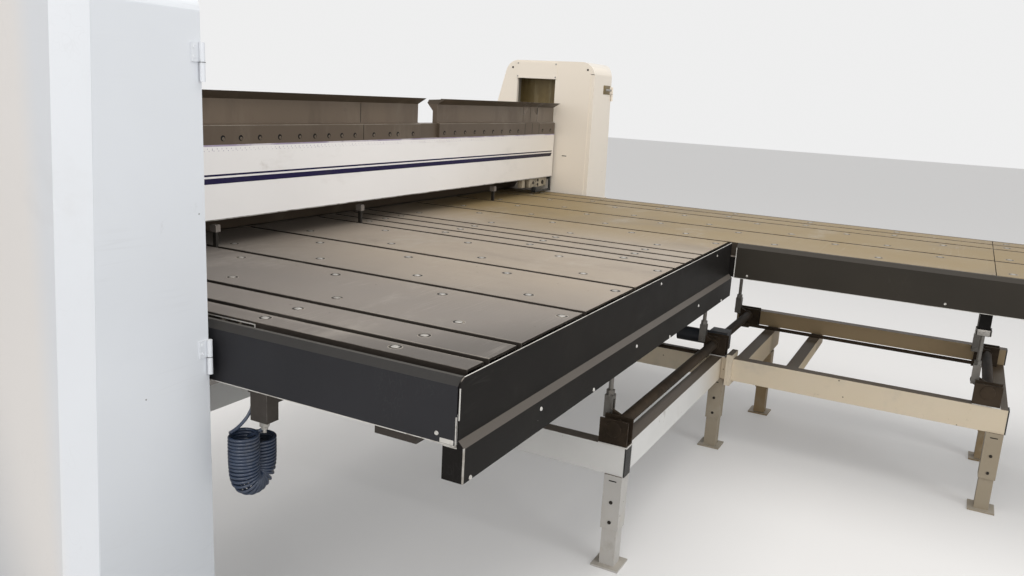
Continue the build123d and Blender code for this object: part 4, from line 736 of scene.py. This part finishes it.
@dataclass
class Studio:
    """A pale floor, soft lamps and the photograph's viewpoint."""

    eye: Point = (2913.0, 2441.0, 1490.0)
    right: Point = (-0.47245, 0.87973, 0.05359)
    up: Point = (-0.17059, -0.15093, 0.97372)
    ahead: Point = (-0.86469, -0.45089, -0.22138)
    lens: float = 29.94
    sensor: float = 36.0
    lamps: tuple[tuple, ...] = (
        ("ceiling", (0.0, 0.3, 4.6), (0.0, 0.0, 0.6), 4.0, 115.0, (1.0, 0.97, 0.93)),
        ("side", (6.5, 1.0, 2.8), (1.0, -0.3, 0.9), 3.0, 110.0, (1.0, 0.965, 0.93)),
        ("rear", (2.0, 7.0, 3.0), (0.0, 0.0, 0.8), 3.5, 150.0, (0.93, 0.965, 1.0)),
        ("front", (-1.0, -5.0, 3.0), (0.0, 0.0, 0.9), 3.0, 60.0, (1.0, 0.97, 0.93)))
    sky_dim: float = 0.58
    sky_seen: float = 0.86
    floor_size: float = 30.0
    floor_drop: float = 0.0005
    floor_glow: float = 0.16

    def camera(self) -> None:
        """Place the camera where the photograph was taken."""
        data = bpy.data.cameras.new("viewpoint")
        data.lens, data.sensor_width, data.sensor_fit = self.lens, self.sensor, "HORIZONTAL"
        data.clip_start, data.clip_end = 0.05, 100.0
        obj = linked("viewpoint", data)
        columns = Matrix((self.right, self.up, tuple(-c for c in self.ahead))).transposed()
        obj.matrix_world = Matrix.Translation(placed(self.eye)) @ columns.to_4x4()
        bpy.context.scene.camera = obj

    def light(self) -> None:
        """Hang the square area lamps, each looking at its target."""
        for name, place, target, size, power, colour in self.lamps:
            data = bpy.data.lights.new(name, "AREA")
            data.shape, data.size, data.energy, data.color = "SQUARE", size, power, colour
            turn = looking(Vector(target) - Vector(place), "-Z")
            linked(name, data).matrix_world = Matrix.Translation(place) @ turn

    def world(self) -> None:
        """A pale surround for the camera and for reflections, and a plain sky level."""
        world = bpy.data.worlds.new("surround")
        world.use_nodes = True
        world.node_tree.nodes.clear()
        g = Graph(world.node_tree)
        rays = g.add("ShaderNodeLightPath").outputs
        seen = g.math("MAXIMUM", rays["Is Camera Ray"],
                      g.math("MAXIMUM", rays["Is Glossy Ray"], rays["Is Transmission Ray"]))
        strength = g.remap(seen, 0.0, 1.0, self.sky_dim, self.sky_seen)
        sky = g.add("ShaderNodeBackground", {"Color": WHITE, "Strength": strength})
        g.add("ShaderNodeOutputWorld", {"Surface": sky.outputs[0]})
        bpy.context.scene.world = world

    def floor(self) -> None:
        """Lay the plain pale floor."""
        mesh = bmesh.new()
        bmesh.ops.create_grid(mesh, x_segments=1, y_segments=1, size=self.floor_size)
        data = bpy.data.meshes.new("studio_floor")
        mesh.to_mesh(data)
        mesh.free()
        obj = linked("studio_floor", data)
        material = bpy.data.materials.new("studio_floor")
        material.use_nodes = True
        shader = material.node_tree.nodes["Principled BSDF"]
        shader.inputs["Base Color"].default_value = (0.66, 0.65, 0.64, 1.0)
        shader.inputs["Roughness"].default_value = 0.75
        shader.inputs["Emission Color"].default_value = WHITE
        g = Graph(material.node_tree)
        rays = g.add("ShaderNodeLightPath").outputs
        glow = g.math("MULTIPLY", rays["Is Camera Ray"], self.floor_glow)
        material.node_tree.links.new(glow, shader.inputs["Emission Strength"])
        data.materials.append(material)
        obj.location.z = -self.floor_drop

    def set_up(self) -> None:
        """Make the whole studio."""
        bpy.context.scene.view_settings.view_transform = "Standard"
        self.camera()
        self.light()
        self.world()
        self.floor()


# The machine's sub-assemblies


@dataclass
class CurlyHose:
    """The coiled air hose: two strands in a U, each led up beside its air block.

    The near strand hangs at near_x and y, the far one at far_strand_x and far_y. The far strand
    ends in a lead at far_x, and both leads run at lead_y. The other heights are along Z.
    """

    shop: FinishShop
    near_x: float = 1546.0
    far_x: float = 1470.0
    far_strand_x: float = 1483.0
    y: float = 1043.0
    far_y: float = 1035.0
    lead_y: float = 1072.0
    collar: float = 800.0
    far_block: float = 756.0
    near_top: float = 756.0
    far_top: float = 728.0
    bottom: float = 556.0
    corner: float = 0.414
    run_in: float = 72.0
    eased_turns: float = 0.5
    coil_radius: float = 33.0
    swell: float = 0.03
    swell_rate: float = 9.0
    wire: float = 8.0
    turns: int = 33
    steps_per_turn: int = 14
    length: float = 6.84

    def route(self) -> list[Vector]:
        """Read the middle line of the U from its own smooth spline."""
        half = (self.near_x - self.far_strand_x) / 2
        middle, shoulder = self.near_x - half, self.bottom + (1 - self.corner) * half
        near, far = (self.near_x, self.y), (self.far_strand_x, self.far_y)
        points = [(*near, self.near_top), (*near, shoulder + 2 * half), (*near, shoulder),
                  (middle + self.corner * half, self.y - 2, self.bottom),
                  (middle - self.corner * half, self.far_y + 2, self.bottom),
                  (*far, shoulder), (*far, shoulder + 2 * half), (*far, self.far_top)]
        curve = self._spline("hose_route", [placed(p) for p in points], 0.0)
        data = bpy.data.meshes.new_from_object(curve)
        line = [v.co.copy() for v in data.vertices]
        bpy.data.objects.remove(curve)
        bpy.data.meshes.remove(data)
        return line

    @staticmethod
    def _spline(name: str, points: list[Vector], bevel: float) -> bpy.types.Object:
        """A smooth curve of one open spline with these control points."""
        data = bpy.data.curves.new(name, "CURVE")
        data.dimensions = "3D"
        data.bevel_depth = bevel
        data.bevel_resolution = 3
        spline = data.splines.new("NURBS")
        spline.points.add(len(points) - 1)
        for control, point in zip(spline.points, points):
            control.co = (*point, 1.0)
        spline.order_u = 3
        spline.use_endpoint_u = True
        spline.resolution_u = 3 if bevel else 24
        return linked(name, data)

    def _travel(self, turned: float, whole: float, total: float) -> float:
        """How far along the route the hose is after this many turns, eased at both ends."""
        ease, span = self.run_in * MILLIMETRE, self.eased_turns
        if turned < span:
            return ease * (1 - (1 - turned / span) ** 2)
        if turned > whole - span:
            return total - ease * (1 - (1 - (whole - turned) / span) ** 2)
        share = (turned - span) / (whole - 2 * span)
        return ease + (total - 2 * ease) * share

    def build(self) -> None:
        line = self.route()
        lengths = [0.0]
        for a, b in zip(line, line[1:]):
            lengths.append(lengths[-1] + (b - a).length)
        points = [placed((self.near_x, self.lead_y, self.collar)),
                  placed((self.near_x, self.lead_y, self.near_top + 22))]
        side = Vector((0.0, 1.0, 0.0))
        aside, out = self.far_strand_x - self.far_x, self.lead_y - self.far_y
        whole = self.turns + math.atan2(aside, out) / (2 * math.pi)
        near_lead, far_lead = self.lead_y - self.y, math.hypot(aside, out)
        steps = self.turns * self.steps_per_turn
        for i in range(steps + 1):
            turned = whole * i / steps
            centre, tangent = self._at(line, lengths, self._travel(turned, whole, lengths[-1]))
            other = tangent.cross(side).normalized()
            angle = 2 * math.pi * turned
            near = max(0.0, 1.0 - turned)
            far = max(0.0, 1.0 - (whole - turned))
            swell = 1.0 + self.swell * math.sin(i / steps * self.swell_rate)
            reach = self.coil_radius * swell * (1 - near - far)
            reach = (reach + near * near_lead + far * far_lead) * MILLIMETRE
            points.append(centre + (side * math.cos(angle) + other * math.sin(angle)) * reach)
        points.append(placed((self.far_x, self.lead_y, self.far_block)))
        hose = self._spline("curly_air_hose", points, self.wire / 2 * MILLIMETRE)
        self.shop.dress(hose, HOSE_BLUE)
        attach(hose, Body.TABLE.value)
        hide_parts("coiled_air_hose")

    @staticmethod
    def _at(line: list[Vector], lengths: list[float], along: float) -> tuple[Vector, Vector]:
        """The point and direction of the route at a distance along it."""
        index = max((i for i, length in enumerate(lengths[:-1]) if length <= along), default=0)
        a, b = line[index], line[index + 1]
        step = (along - lengths[index]) / (lengths[index + 1] - lengths[index])
        before = line[max(0, index - 1)]
        after = line[min(len(line) - 1, index + 2)]
        return a.lerp(b, step), (after - before).normalized()


@dataclass
class Dress:
    """Added pieces of one sub-assembly, most of them on one body."""

    shop: FinishShop
    pieces: list[Piece] = field(default_factory=list, init=False)
    BODY = Body.TABLE

    def piece(self, name: str, finish: Finish, slot: Slot, smooth: float | None = SMOOTH_ANGLE,
              body: Body | None = None) -> Piece:
        """Start a piece on the usual body or on another one."""
        self.pieces.append(Piece(name, finish, body or self.BODY, slot, smooth))
        return self.pieces[-1]

    def build(self) -> None:
        """Run every build method of the class, then finish the pieces in their order."""
        for name in vars(type(self)):
            if name.startswith("build_"):
                getattr(self, name)()
        for piece in self.pieces:
            piece.finished(self.shop)


@dataclass
class AirFitting(Dress):
    """The bright hose nut and its tail under the near air block."""

    x: float = 1546.0
    y: float = 1109.0

    def build_nut(self) -> None:
        """Screw the nut on the block's fitting."""
        piece = self.piece("air_fitting_nut", ZINC, Slot.ZINC)
        x, y = self.x, self.y
        piece.rod((x, y, 719), (x, y, 733), 12.0, 6, 0.8)
        piece.rod((x, y, 712), (x, y, 719), 8.0, 20, 0.8)
        piece.rod((x, y, 704), (x, y, 712), 5.0, 16, 0.6, 4.0)


@dataclass
class HousingTrim(Dress):
    """Door seams, hinge screws and slot cover screws of one side housing."""

    BODY = Body.STAND

    name: str
    side: int
    rear: float
    door: Body
    inner: float = 1596.0
    outer: float = 1920.0
    lean: float = 0.042
    door_low: float = 60.0
    door_high: float = 1621.0
    gap: float = 3.0
    hinges: tuple[float, ...] = (1481.0, 838.0)

    def build_seams(self) -> None:
        """Fill the narrow gaps round the door with a painted sealing strip."""
        piece = self.piece(f"{self.name}_door_seams", HOUSING_WHITE, Slot.HOUSING, None)
        side, rear, outer = self.side, self.rear, self.outer
        low, high = self.door_low - self.gap, self.door_high + self.gap
        top_end = outer - self.gap - self.lean * high
        piece.block((side * (self.inner + 0.6), rear - 25, low), (side * 1614, rear - 22, high))
        piece.block((side * (outer - 3.1), rear - 3, low), (side * outer, rear - 0.3, high),
                    lean=-side * self.lean)
        piece.blocks((side * 1599, rear - 3, self.door_high, side * top_end, rear - 1.2, high),
                     (side * 1599, rear - 3, low, side * (outer - 6), rear - 1.2, self.door_low))

    def build_hinges(self) -> None:
        """Seat two screws in each door leaf and a dark disc between the barrels, painted shade in
        the gap between them.
        """
        screws = self.piece(f"{self.name}_hinge_screws", HOUSING_WHITE, Slot.HOUSING,
                            body=self.door)
        gap_shade = self.piece(f"{self.name}_hinge_gap_shade", HOLE_BLACK, Slot.DARK)
        for z in self.hinges:
            x = self.inner + 6 if self.side > 0 else -(self.outer - self.lean * (z + 40))
            for up in (50, 70):
                screws.button_screw((x + 17, self.rear + 3, z + up), (0, 1, 0), 3.4, 1.4)
            # dark disc: painted shade in the gap between the hinge barrels
            gap_shade.rod((x, self.rear + 7, z + 39.3), (x, self.rear + 7, z + 40.3), 7.0, 20)

    def build_cover_screws(self) -> None:
        """Seat a screw in each corner of the slot cover."""
        piece = self.piece(f"{self.name}_cover_screws", ZINC, Slot.ZINC)
        for y in (52.0, 294.0):
            for z in (1597.0, 1669.0):
                piece.button_screw((self.side * 1593, y, z), (-self.side, 0, 0), 5.0, 2.0)


@dataclass
class FarHousingTrim(Dress):
    """The guard behind the far slot, the small holes beside it and the door's lock plate."""

    BODY = Body.STAND

    face: float = -1596.0
    holes: tuple[tuple[float, float], ...] = ((17, 1645), (491, 1645))

    def build_guard(self) -> None:
        """Close the slot's back with a U-shaped guard on the guide rails."""
        piece = self.piece("far_slot_guard", OILY_BROWN, Slot.BROWN, None)
        piece.blocks((-1722, 27, 1105, -1719, 319, 1640),
                     (-1722, 24, 1105, -1646, 27, 1640),
                     (-1722, 319, 1105, -1646, 322, 1640))

    def build_marks(self) -> None:
        """Open the round holes and the short slit in the inner face."""
        piece = self.piece("far_face_holes", HOLE_BLACK, Slot.DARK, None)
        for y, z in self.holes:
            piece.rod((self.face, y, z), (self.face + 0.6, y, z), 6.0, 20)
        piece.block((self.face, 366, 1159), (self.face + 0.6, 394, 1163.5))

    def build_lock_plate(self) -> None:
        """Screw the lock plate on the far door, with its turning bar."""
        plate = self.piece("far_lock_plate", OILY_BROWN, Slot.BROWN, body=Body.FAR_DOOR)
        plate.block((-1738, 534, 1518), (-1838, 536.5, 1568), 0.8)
        bar = self.piece("far_lock_bar", ZINC, Slot.ZINC, body=Body.FAR_DOOR)
        bar.block((-1768, 536.5, 1537), (-1850, 541, 1549), 1.5)


@dataclass
class BeamDress(Dress):
    """Stripes, scale, tool bolts, joints and locking plate of the clamping beam."""

    BODY = Body.CLAMPING_BEAM

    rear: float = 319.0
    web: float = 303.0
    top: float = 1282.0
    low: float = 1040.0
    ledge: float = 1344.0
    tool_top: float = 1426.0
    stripes: tuple[tuple[float, float], ...] = ((0.385, 0.411), (0.437, 0.512))
    slant: float = 0.8
    far_end: float = -1556.0
    bolts: tuple[float, ...] = (905, 828, 742, 647, 546, 466, 388, 313, 234, 114, 6, -50, -160)
    tools: tuple[tuple[float, float], ...] = (
        (1574, 180.5), (179.5, -216.5), (-368.5, -1206.5), (-1374.5, -1574))
    joints: tuple[float, ...] = (180.0, -1207.0, -1290.5, -1374.0)

    def build_stripes(self) -> None:
        """Lay the two painted stripes, with their far ends cut on a slant."""
        piece = self.piece("beam_stripes", STRIPE_NAVY, Slot.BEAM, None)
        height, y = self.top - self.low, self.rear + 0.35
        for low, high in self.stripes:
            z1, z0 = self.top - height * low, self.top - height * high
            corners = [(HALF_WORK, z0), (HALF_WORK, z1), (self.far_end, z1),
                       (self.far_end + (z1 - z0) * self.slant, z0)]
            face = piece.mesh.faces.new([piece.mesh.verts.new((x, y, z)) for x, z in corners])
            face.normal_update()
            if face.normal.y < 0:
                face.normal_flip()

    def build_scale(self) -> None:
        """Print the plain tick marks of the length scale under the tools."""
        piece = self.piece("beam_scale", SCALE_VIOLET, Slot.BEAM, None)
        y = self.rear
        for step in range(152):
            x = 1550 - step * 20
            tall = 8.0 if step % 5 == 0 else 4.0
            piece.blocks((x - 0.9, y, 1272 - tall, x + 0.9, y + 0.25, 1272),
                         (x - 8, y, 1262, x - 5.5, y + 0.25, 1264.5))
        piece.block((HALF_WORK, y - 1, 1277), (-HALF_WORK, y + 0.2, 1282.3))

    def build_lip(self) -> None:
        """Show the cover's bare folded lip along its bottom edge."""
        piece = self.piece("beam_cover_lip", LIP_GREY, Slot.BEAM)
        piece.block((HALF_WORK, self.rear - 3, self.low),
                    (-HALF_WORK, self.rear + 0.6, self.low + 4), 0.5)

    def build_ledges(self) -> None:
        """Rub the top edge of each tool flange bright and close the joints between tools."""
        ledges = self.piece("tool_ledges", BRIGHT_EDGE, Slot.TOOL, None)
        joints = self.piece("tool_joints", HOLE_BLACK, Slot.TOOL, None)
        y, web, ledge, top = self.rear, self.web, self.ledge, self.tool_top
        for a, b in self.tools:
            ledges.block((a, y - 1, ledge - 1), (b, y + 0.3, ledge + 0.6))
        ledges.block((-1378, web - 1, ledge), (-1381, web + 0.3, top))
        for x in self.joints:
            joints.blocks((x - 1.6, y - 2, self.top + 2, x + 1.6, y + 0.25, ledge),
                          (x - 1.6, web - 2, ledge, x + 1.6, web + 0.25, top))

    def build_bolts(self) -> None:
        """Sink a socket screw for each bolt of the tall tools, each on a dark disc painted as the
        shade of its counterbored hole.
        """
        heads = self.piece("tool_bolts", TOOL_STEEL, Slot.TOOL)
        holes = self.piece("tool_bolt_recesses", HOLE_BLACK, Slot.TOOL)
        y, z = self.rear, 1303.0
        for x in (*range(1530, 960, -85), *self.bolts, *range(-410, -1190, -90), -1420, -1520):
            # dark disc: painted shade of the counterbore round the screw head
            holes.rod((x, y, z), (x, y + 0.4, z), 9.5, 20)
            heads.button_screw((x - 2.2, y + 0.4, z - 2.2), (0, 1, 0), 5.6, 1.2)

    def build_lock(self) -> None:
        """Hang the locking plate with its bolts and bent bar under the beam's far end."""
        plate = self.piece("beam_lock_plate", LOCK_TAN, Slot.BEAM)
        plate.block((-1340, 240, 986), (-1555, 296, 1041), 3)
        plate.block((-1262, 262, 990), (-1296, 292, 1041), 3)
        bolts = self.piece("beam_lock_bolts", BLOCK_METAL, Slot.DARK)
        for x, z, radius in ((-1385, 1012, 9), (-1440, 1024, 8), (-1440, 1000, 8),
                             (-1500, 1010, 12)):
            bolts.rod((x, 296, z), (x, 301, z), radius, 6, 0.8)
        bar = self.piece("beam_lock_bar", BLACK_PLASTIC, Slot.DARK)
        bar.rod((-1380, 310, 965), (-1572, 310, 965), 7.0, 16, 1.5)
        bar.rod((-1566, 310, 959), (-1566, 310, 1041), 7.0, 16, 1.5)
        bar.block((-1380, 290, 960), (-1396, 316, 990), 1.0)


@dataclass
class TableDress(Dress):
    """Screws of the table plates and the rubbed edges of the slots.

    The plates beyond the corner slot run on into the extension.
    """

    slots: tuple[float, ...] = (1436, 1290, 926, 553, 168, 56, -56, -168, -553, -926, -1290, -1436)
    near: float = 1513.0
    far: float = -1553.0
    corner_slot: float = -553.0
    start: float = 78.0
    end: float = 1620.0
    joint: float = 2586.0
    far_end: float = 3200.0
    narrow: float = 80.0
    aside: float = 108.0
    one_side: tuple[float, ...] = (301, 673, 1045, 1417)
    one_side_far: tuple[float, ...] = (1789, 2185, 2640, 3050)
    other_side: tuple[float, ...] = (487, 861, 1231, 1590)
    other_side_far: tuple[float, ...] = (1995, 2393, 2845)

    def screw_places(self) -> list[tuple[float, float]]:
        """Where the screws sit: one row in a narrow plate, two staggered rows in a wide one."""
        places = []
        edges = [self.near, *self.slots, self.far]
        for a, b in zip(edges, edges[1:]):
            middle, wide = (a + b) / 2, (a - b) / 2 >= self.narrow
            long = middle < self.corner_slot
            rows = [(self.aside if wide else 0, self.one_side, self.one_side_far)]
            if wide:
                rows.append((-self.aside, self.other_side, self.other_side_far))
            for shift, table, extension in rows:
                places += [(middle + shift, y) for y in (*table, *(extension if long else ()))]
        return places

    def build_plate_screws(self) -> None:
        """Sink the screws of the plates in their dished holes, each dark dish painted as the shade
        of its countersunk hole.
        """
        heads = self.piece("table_plate_screws", ZINC, Slot.ZINC)
        rims = self.piece("table_plate_rims", BRIGHT_EDGE, Slot.TABLE)
        dishes = self.piece("table_plate_dishes", DISH_BROWN, Slot.TABLE_DARK)
        top = TABLE_TOP
        for x, y in self.screw_places():
            rims.rod((x, y, top), (x, y, top + 0.2), 17.0, 24, end_radius=16.6)
            # dark dish: painted shade of the countersunk hole round the screw
            dishes.rod((x, y, top), (x, y, top + 0.35), 15.4, 24, end_radius=14.8)
            heads.button_screw((x, y, top + 0.35), (0, 0, 1), 9.5, 1.3)

    def build_slot_edges(self) -> None:
        """Lay bright strips along the slots, except the corner slot's near edge: rubbed edges
        together with painted highlight where the edges catch the light.
        """
        piece = self.piece("table_slot_edges", BRIGHT_EDGE, Slot.TABLE, None)
        low, high = TABLE_TOP - 0.2, TABLE_TOP + 0.2
        for x in self.slots:
            spans = [(self.start, self.end)]
            if x <= self.corner_slot:
                spans = [(self.start, self.joint - 1.5), (self.joint + 1.5, self.far_end)]
            for side in (-1,) if x == self.corner_slot else (-1, 1):
                for a, b in spans:
                    # bright strip: rubbed edge together with painted highlight along the slot
                    piece.block((x + side * 13, a, low), (x + side * 14.8, b, high))

    def build_near_strip(self) -> None:
        """Lay the dark strip along the table's near edge, with bright lines round it."""
        strip = self.piece("near_edge_strip", DISH_BROWN, Slot.BRIGHT)
        strip.block((1513, 240, 927), (1515, 1053, 944), 0.4)
        lines = self.piece("near_edge_lines", BARE_EDGE, Slot.BRIGHT, None)
        lines.blocks((1514.5, 240, 927, 1516.2, 1053, 929),
                     (1514.5, 240, 942.5, 1516.2, 1053, 944.5),
                     (1514.5, 1051, 927, 1516.2, 1053.5, 944))


@dataclass
class SkirtDress(Dress):
    """The skirts' bare cut edges and screws, their corner bracket and the tube collars."""

    near: float = 1574.0
    rear: float = 1643.0
    inner: float = -530.0
    bottom: float = 810.0
    end: float = 3220.0

    def build_collars(self) -> None:
        """Weld the pale collars round the lower ends of the extension's drop tubes."""
        piece = self.piece("drop_tube_collars", ZINC, Slot.SUPPORT)
        for x in (-772, -1310):
            for side in (-1, 1):
                piece.block((x + side * 21, 2558, 682), (x + side * 27, 2614, 706), 1.0)
                piece.block((x - 27, 2586 + side * 21, 682), (x + 27, 2586 + side * 27, 706), 1.0)

    def build_edges(self) -> None:
        """Bare the cut edges where the paint has rubbed through."""
        piece = self.piece("skirt_cut_edges", BARE_EDGE, Slot.BRIGHT, None)
        x, y, z, inner = self.near, self.rear, self.bottom, self.inner
        piece.blocks(
            (x - 3, 215, z - 0.6, x + 0.35, 1637, z + 1.4),
            (x - 3, 1635.2, z, x + 0.35, 1637.4, 872),
            (x - 18, y - 3.2, 950.8, inner + 8, y - 0.8, 951.3),
            (x - 2, y - 1.4, 866, x + 0.35, y + 0.2, 932),
            (x - 3, 1606.6, 806.5, x + 0.35, 1640, 808.6),
            (x - 3, 1654.4, 735, x + 0.35, 1657.4, 811),
            (inner - 3, 1662, z - 0.6, inner + 0.35, 3216, z + 1.4),
            (inner - 3, 1660.6, z, inner + 0.4, 1664, 934),
            (inner - 3, 3216, z - 0.6, -1585, self.end - 0.1, z + 1.0))

    def build_screws(self) -> None:
        """Seat the small screws of the skirts."""
        piece = self.piece("skirt_screws", BARE_EDGE, Slot.BRIGHT)
        for x, z in ((1545, 740), (1232, 788), (912, 742), (595, 786), (269, 741), (-50, 784),
                     (-381, 741)):
            piece.button_screw((x, self.rear + 14, z), (0, 1, 0), 5.2, 2.4)
        for x, z in ((369, 934), (-300, 930)):
            piece.button_screw((x, self.rear, z), (0, 1, 0), 4.4, 2.0)
        for x, y, z in ((self.near, 1592, 829), (self.inner, 1715, 824), (self.inner, 2439, 826),
                        (self.inner, 3080, 830)):
            piece.button_screw((x, y, z), (1, 0, 0), 4.8, 2.2)

    def build_corner(self) -> None:
        """Join the side skirt and the lower box with a small bracket."""
        piece = self.piece("skirt_corner_bracket", BARE_EDGE, Slot.BRIGHT)
        piece.block((1560, 1606, 801), (1571, 1652, 808), 0.6)
        piece.block((self.near - 2.6, 1600, 812), (self.near + 0.8, 1632, 822), 0.5)


@dataclass
class SupportDress(Dress):
    """Slots of the legs, and the discs and bare lips of the bearing boxes."""

    BODY = Body.STAND

    legs: tuple[tuple[float, float], ...] = (
        (483, 1590), (-720, 1600), (-720, 2682), (-1290, 1694), (-1290, 2682))
    shafts: tuple[float, float] = (1575.9, 2634.9)

    def build_leg_slots(self) -> None:
        """Open the adjusting slot in the near face of each leg sleeve."""
        piece = self.piece("leg_slots", HOLE_BLACK, Slot.DARK, None)
        for x, y in self.legs:
            piece.block((x + 30, y - 13, 301), (x + 30.5, y + 13, 305), 0.2)

    def build_bracket_lips(self) -> None:
        """Show the bare welded lips under the bearing boxes."""
        piece = self.piece("bracket_lips", BARE_EDGE, Slot.SUPPORT)
        rear, extension = self.shafts
        for x, y in ((483, rear), (-720, rear), (-720, extension)):
            piece.block((x + 25, y - 48, 420), (x + 28, y + 48, 424), 0.5)
            piece.block((x - 25, y + 48, 420), (x + 28, y + 51, 424), 0.5)

    def build_shaft_caps(self) -> None:
        """Press the worn end discs on the bearing boxes round the shaft ends."""
        piece = self.piece("bearing_discs", BROWN_STEEL, Slot.BROWN)
        for x, y in zip((508, -695), self.shafts):
            piece.rod((x, y, 475), (x + 3, y, 475), 26, 32, 1.0)


def main() -> None:
    """Build the studio and dress the machine; each added piece logs its face count."""
    logging.basicConfig(level=logging.INFO, format="%(name)s: %(message)s")
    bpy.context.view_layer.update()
    Studio().set_up()
    shop = FinishShop()
    shop.dress_nodes()
    CurlyHose(shop).build()
    AirFitting(shop).build()
    HousingTrim(shop, "near", 1, 994.0, Body.NEAR_DOOR).build()
    HousingTrim(shop, "far", -1, 534.0, Body.FAR_DOOR).build()
    for dress in (FarHousingTrim, BeamDress, TableDress, SkirtDress, SupportDress):
        dress(shop).build()


if __name__ == "__main__":
    main()
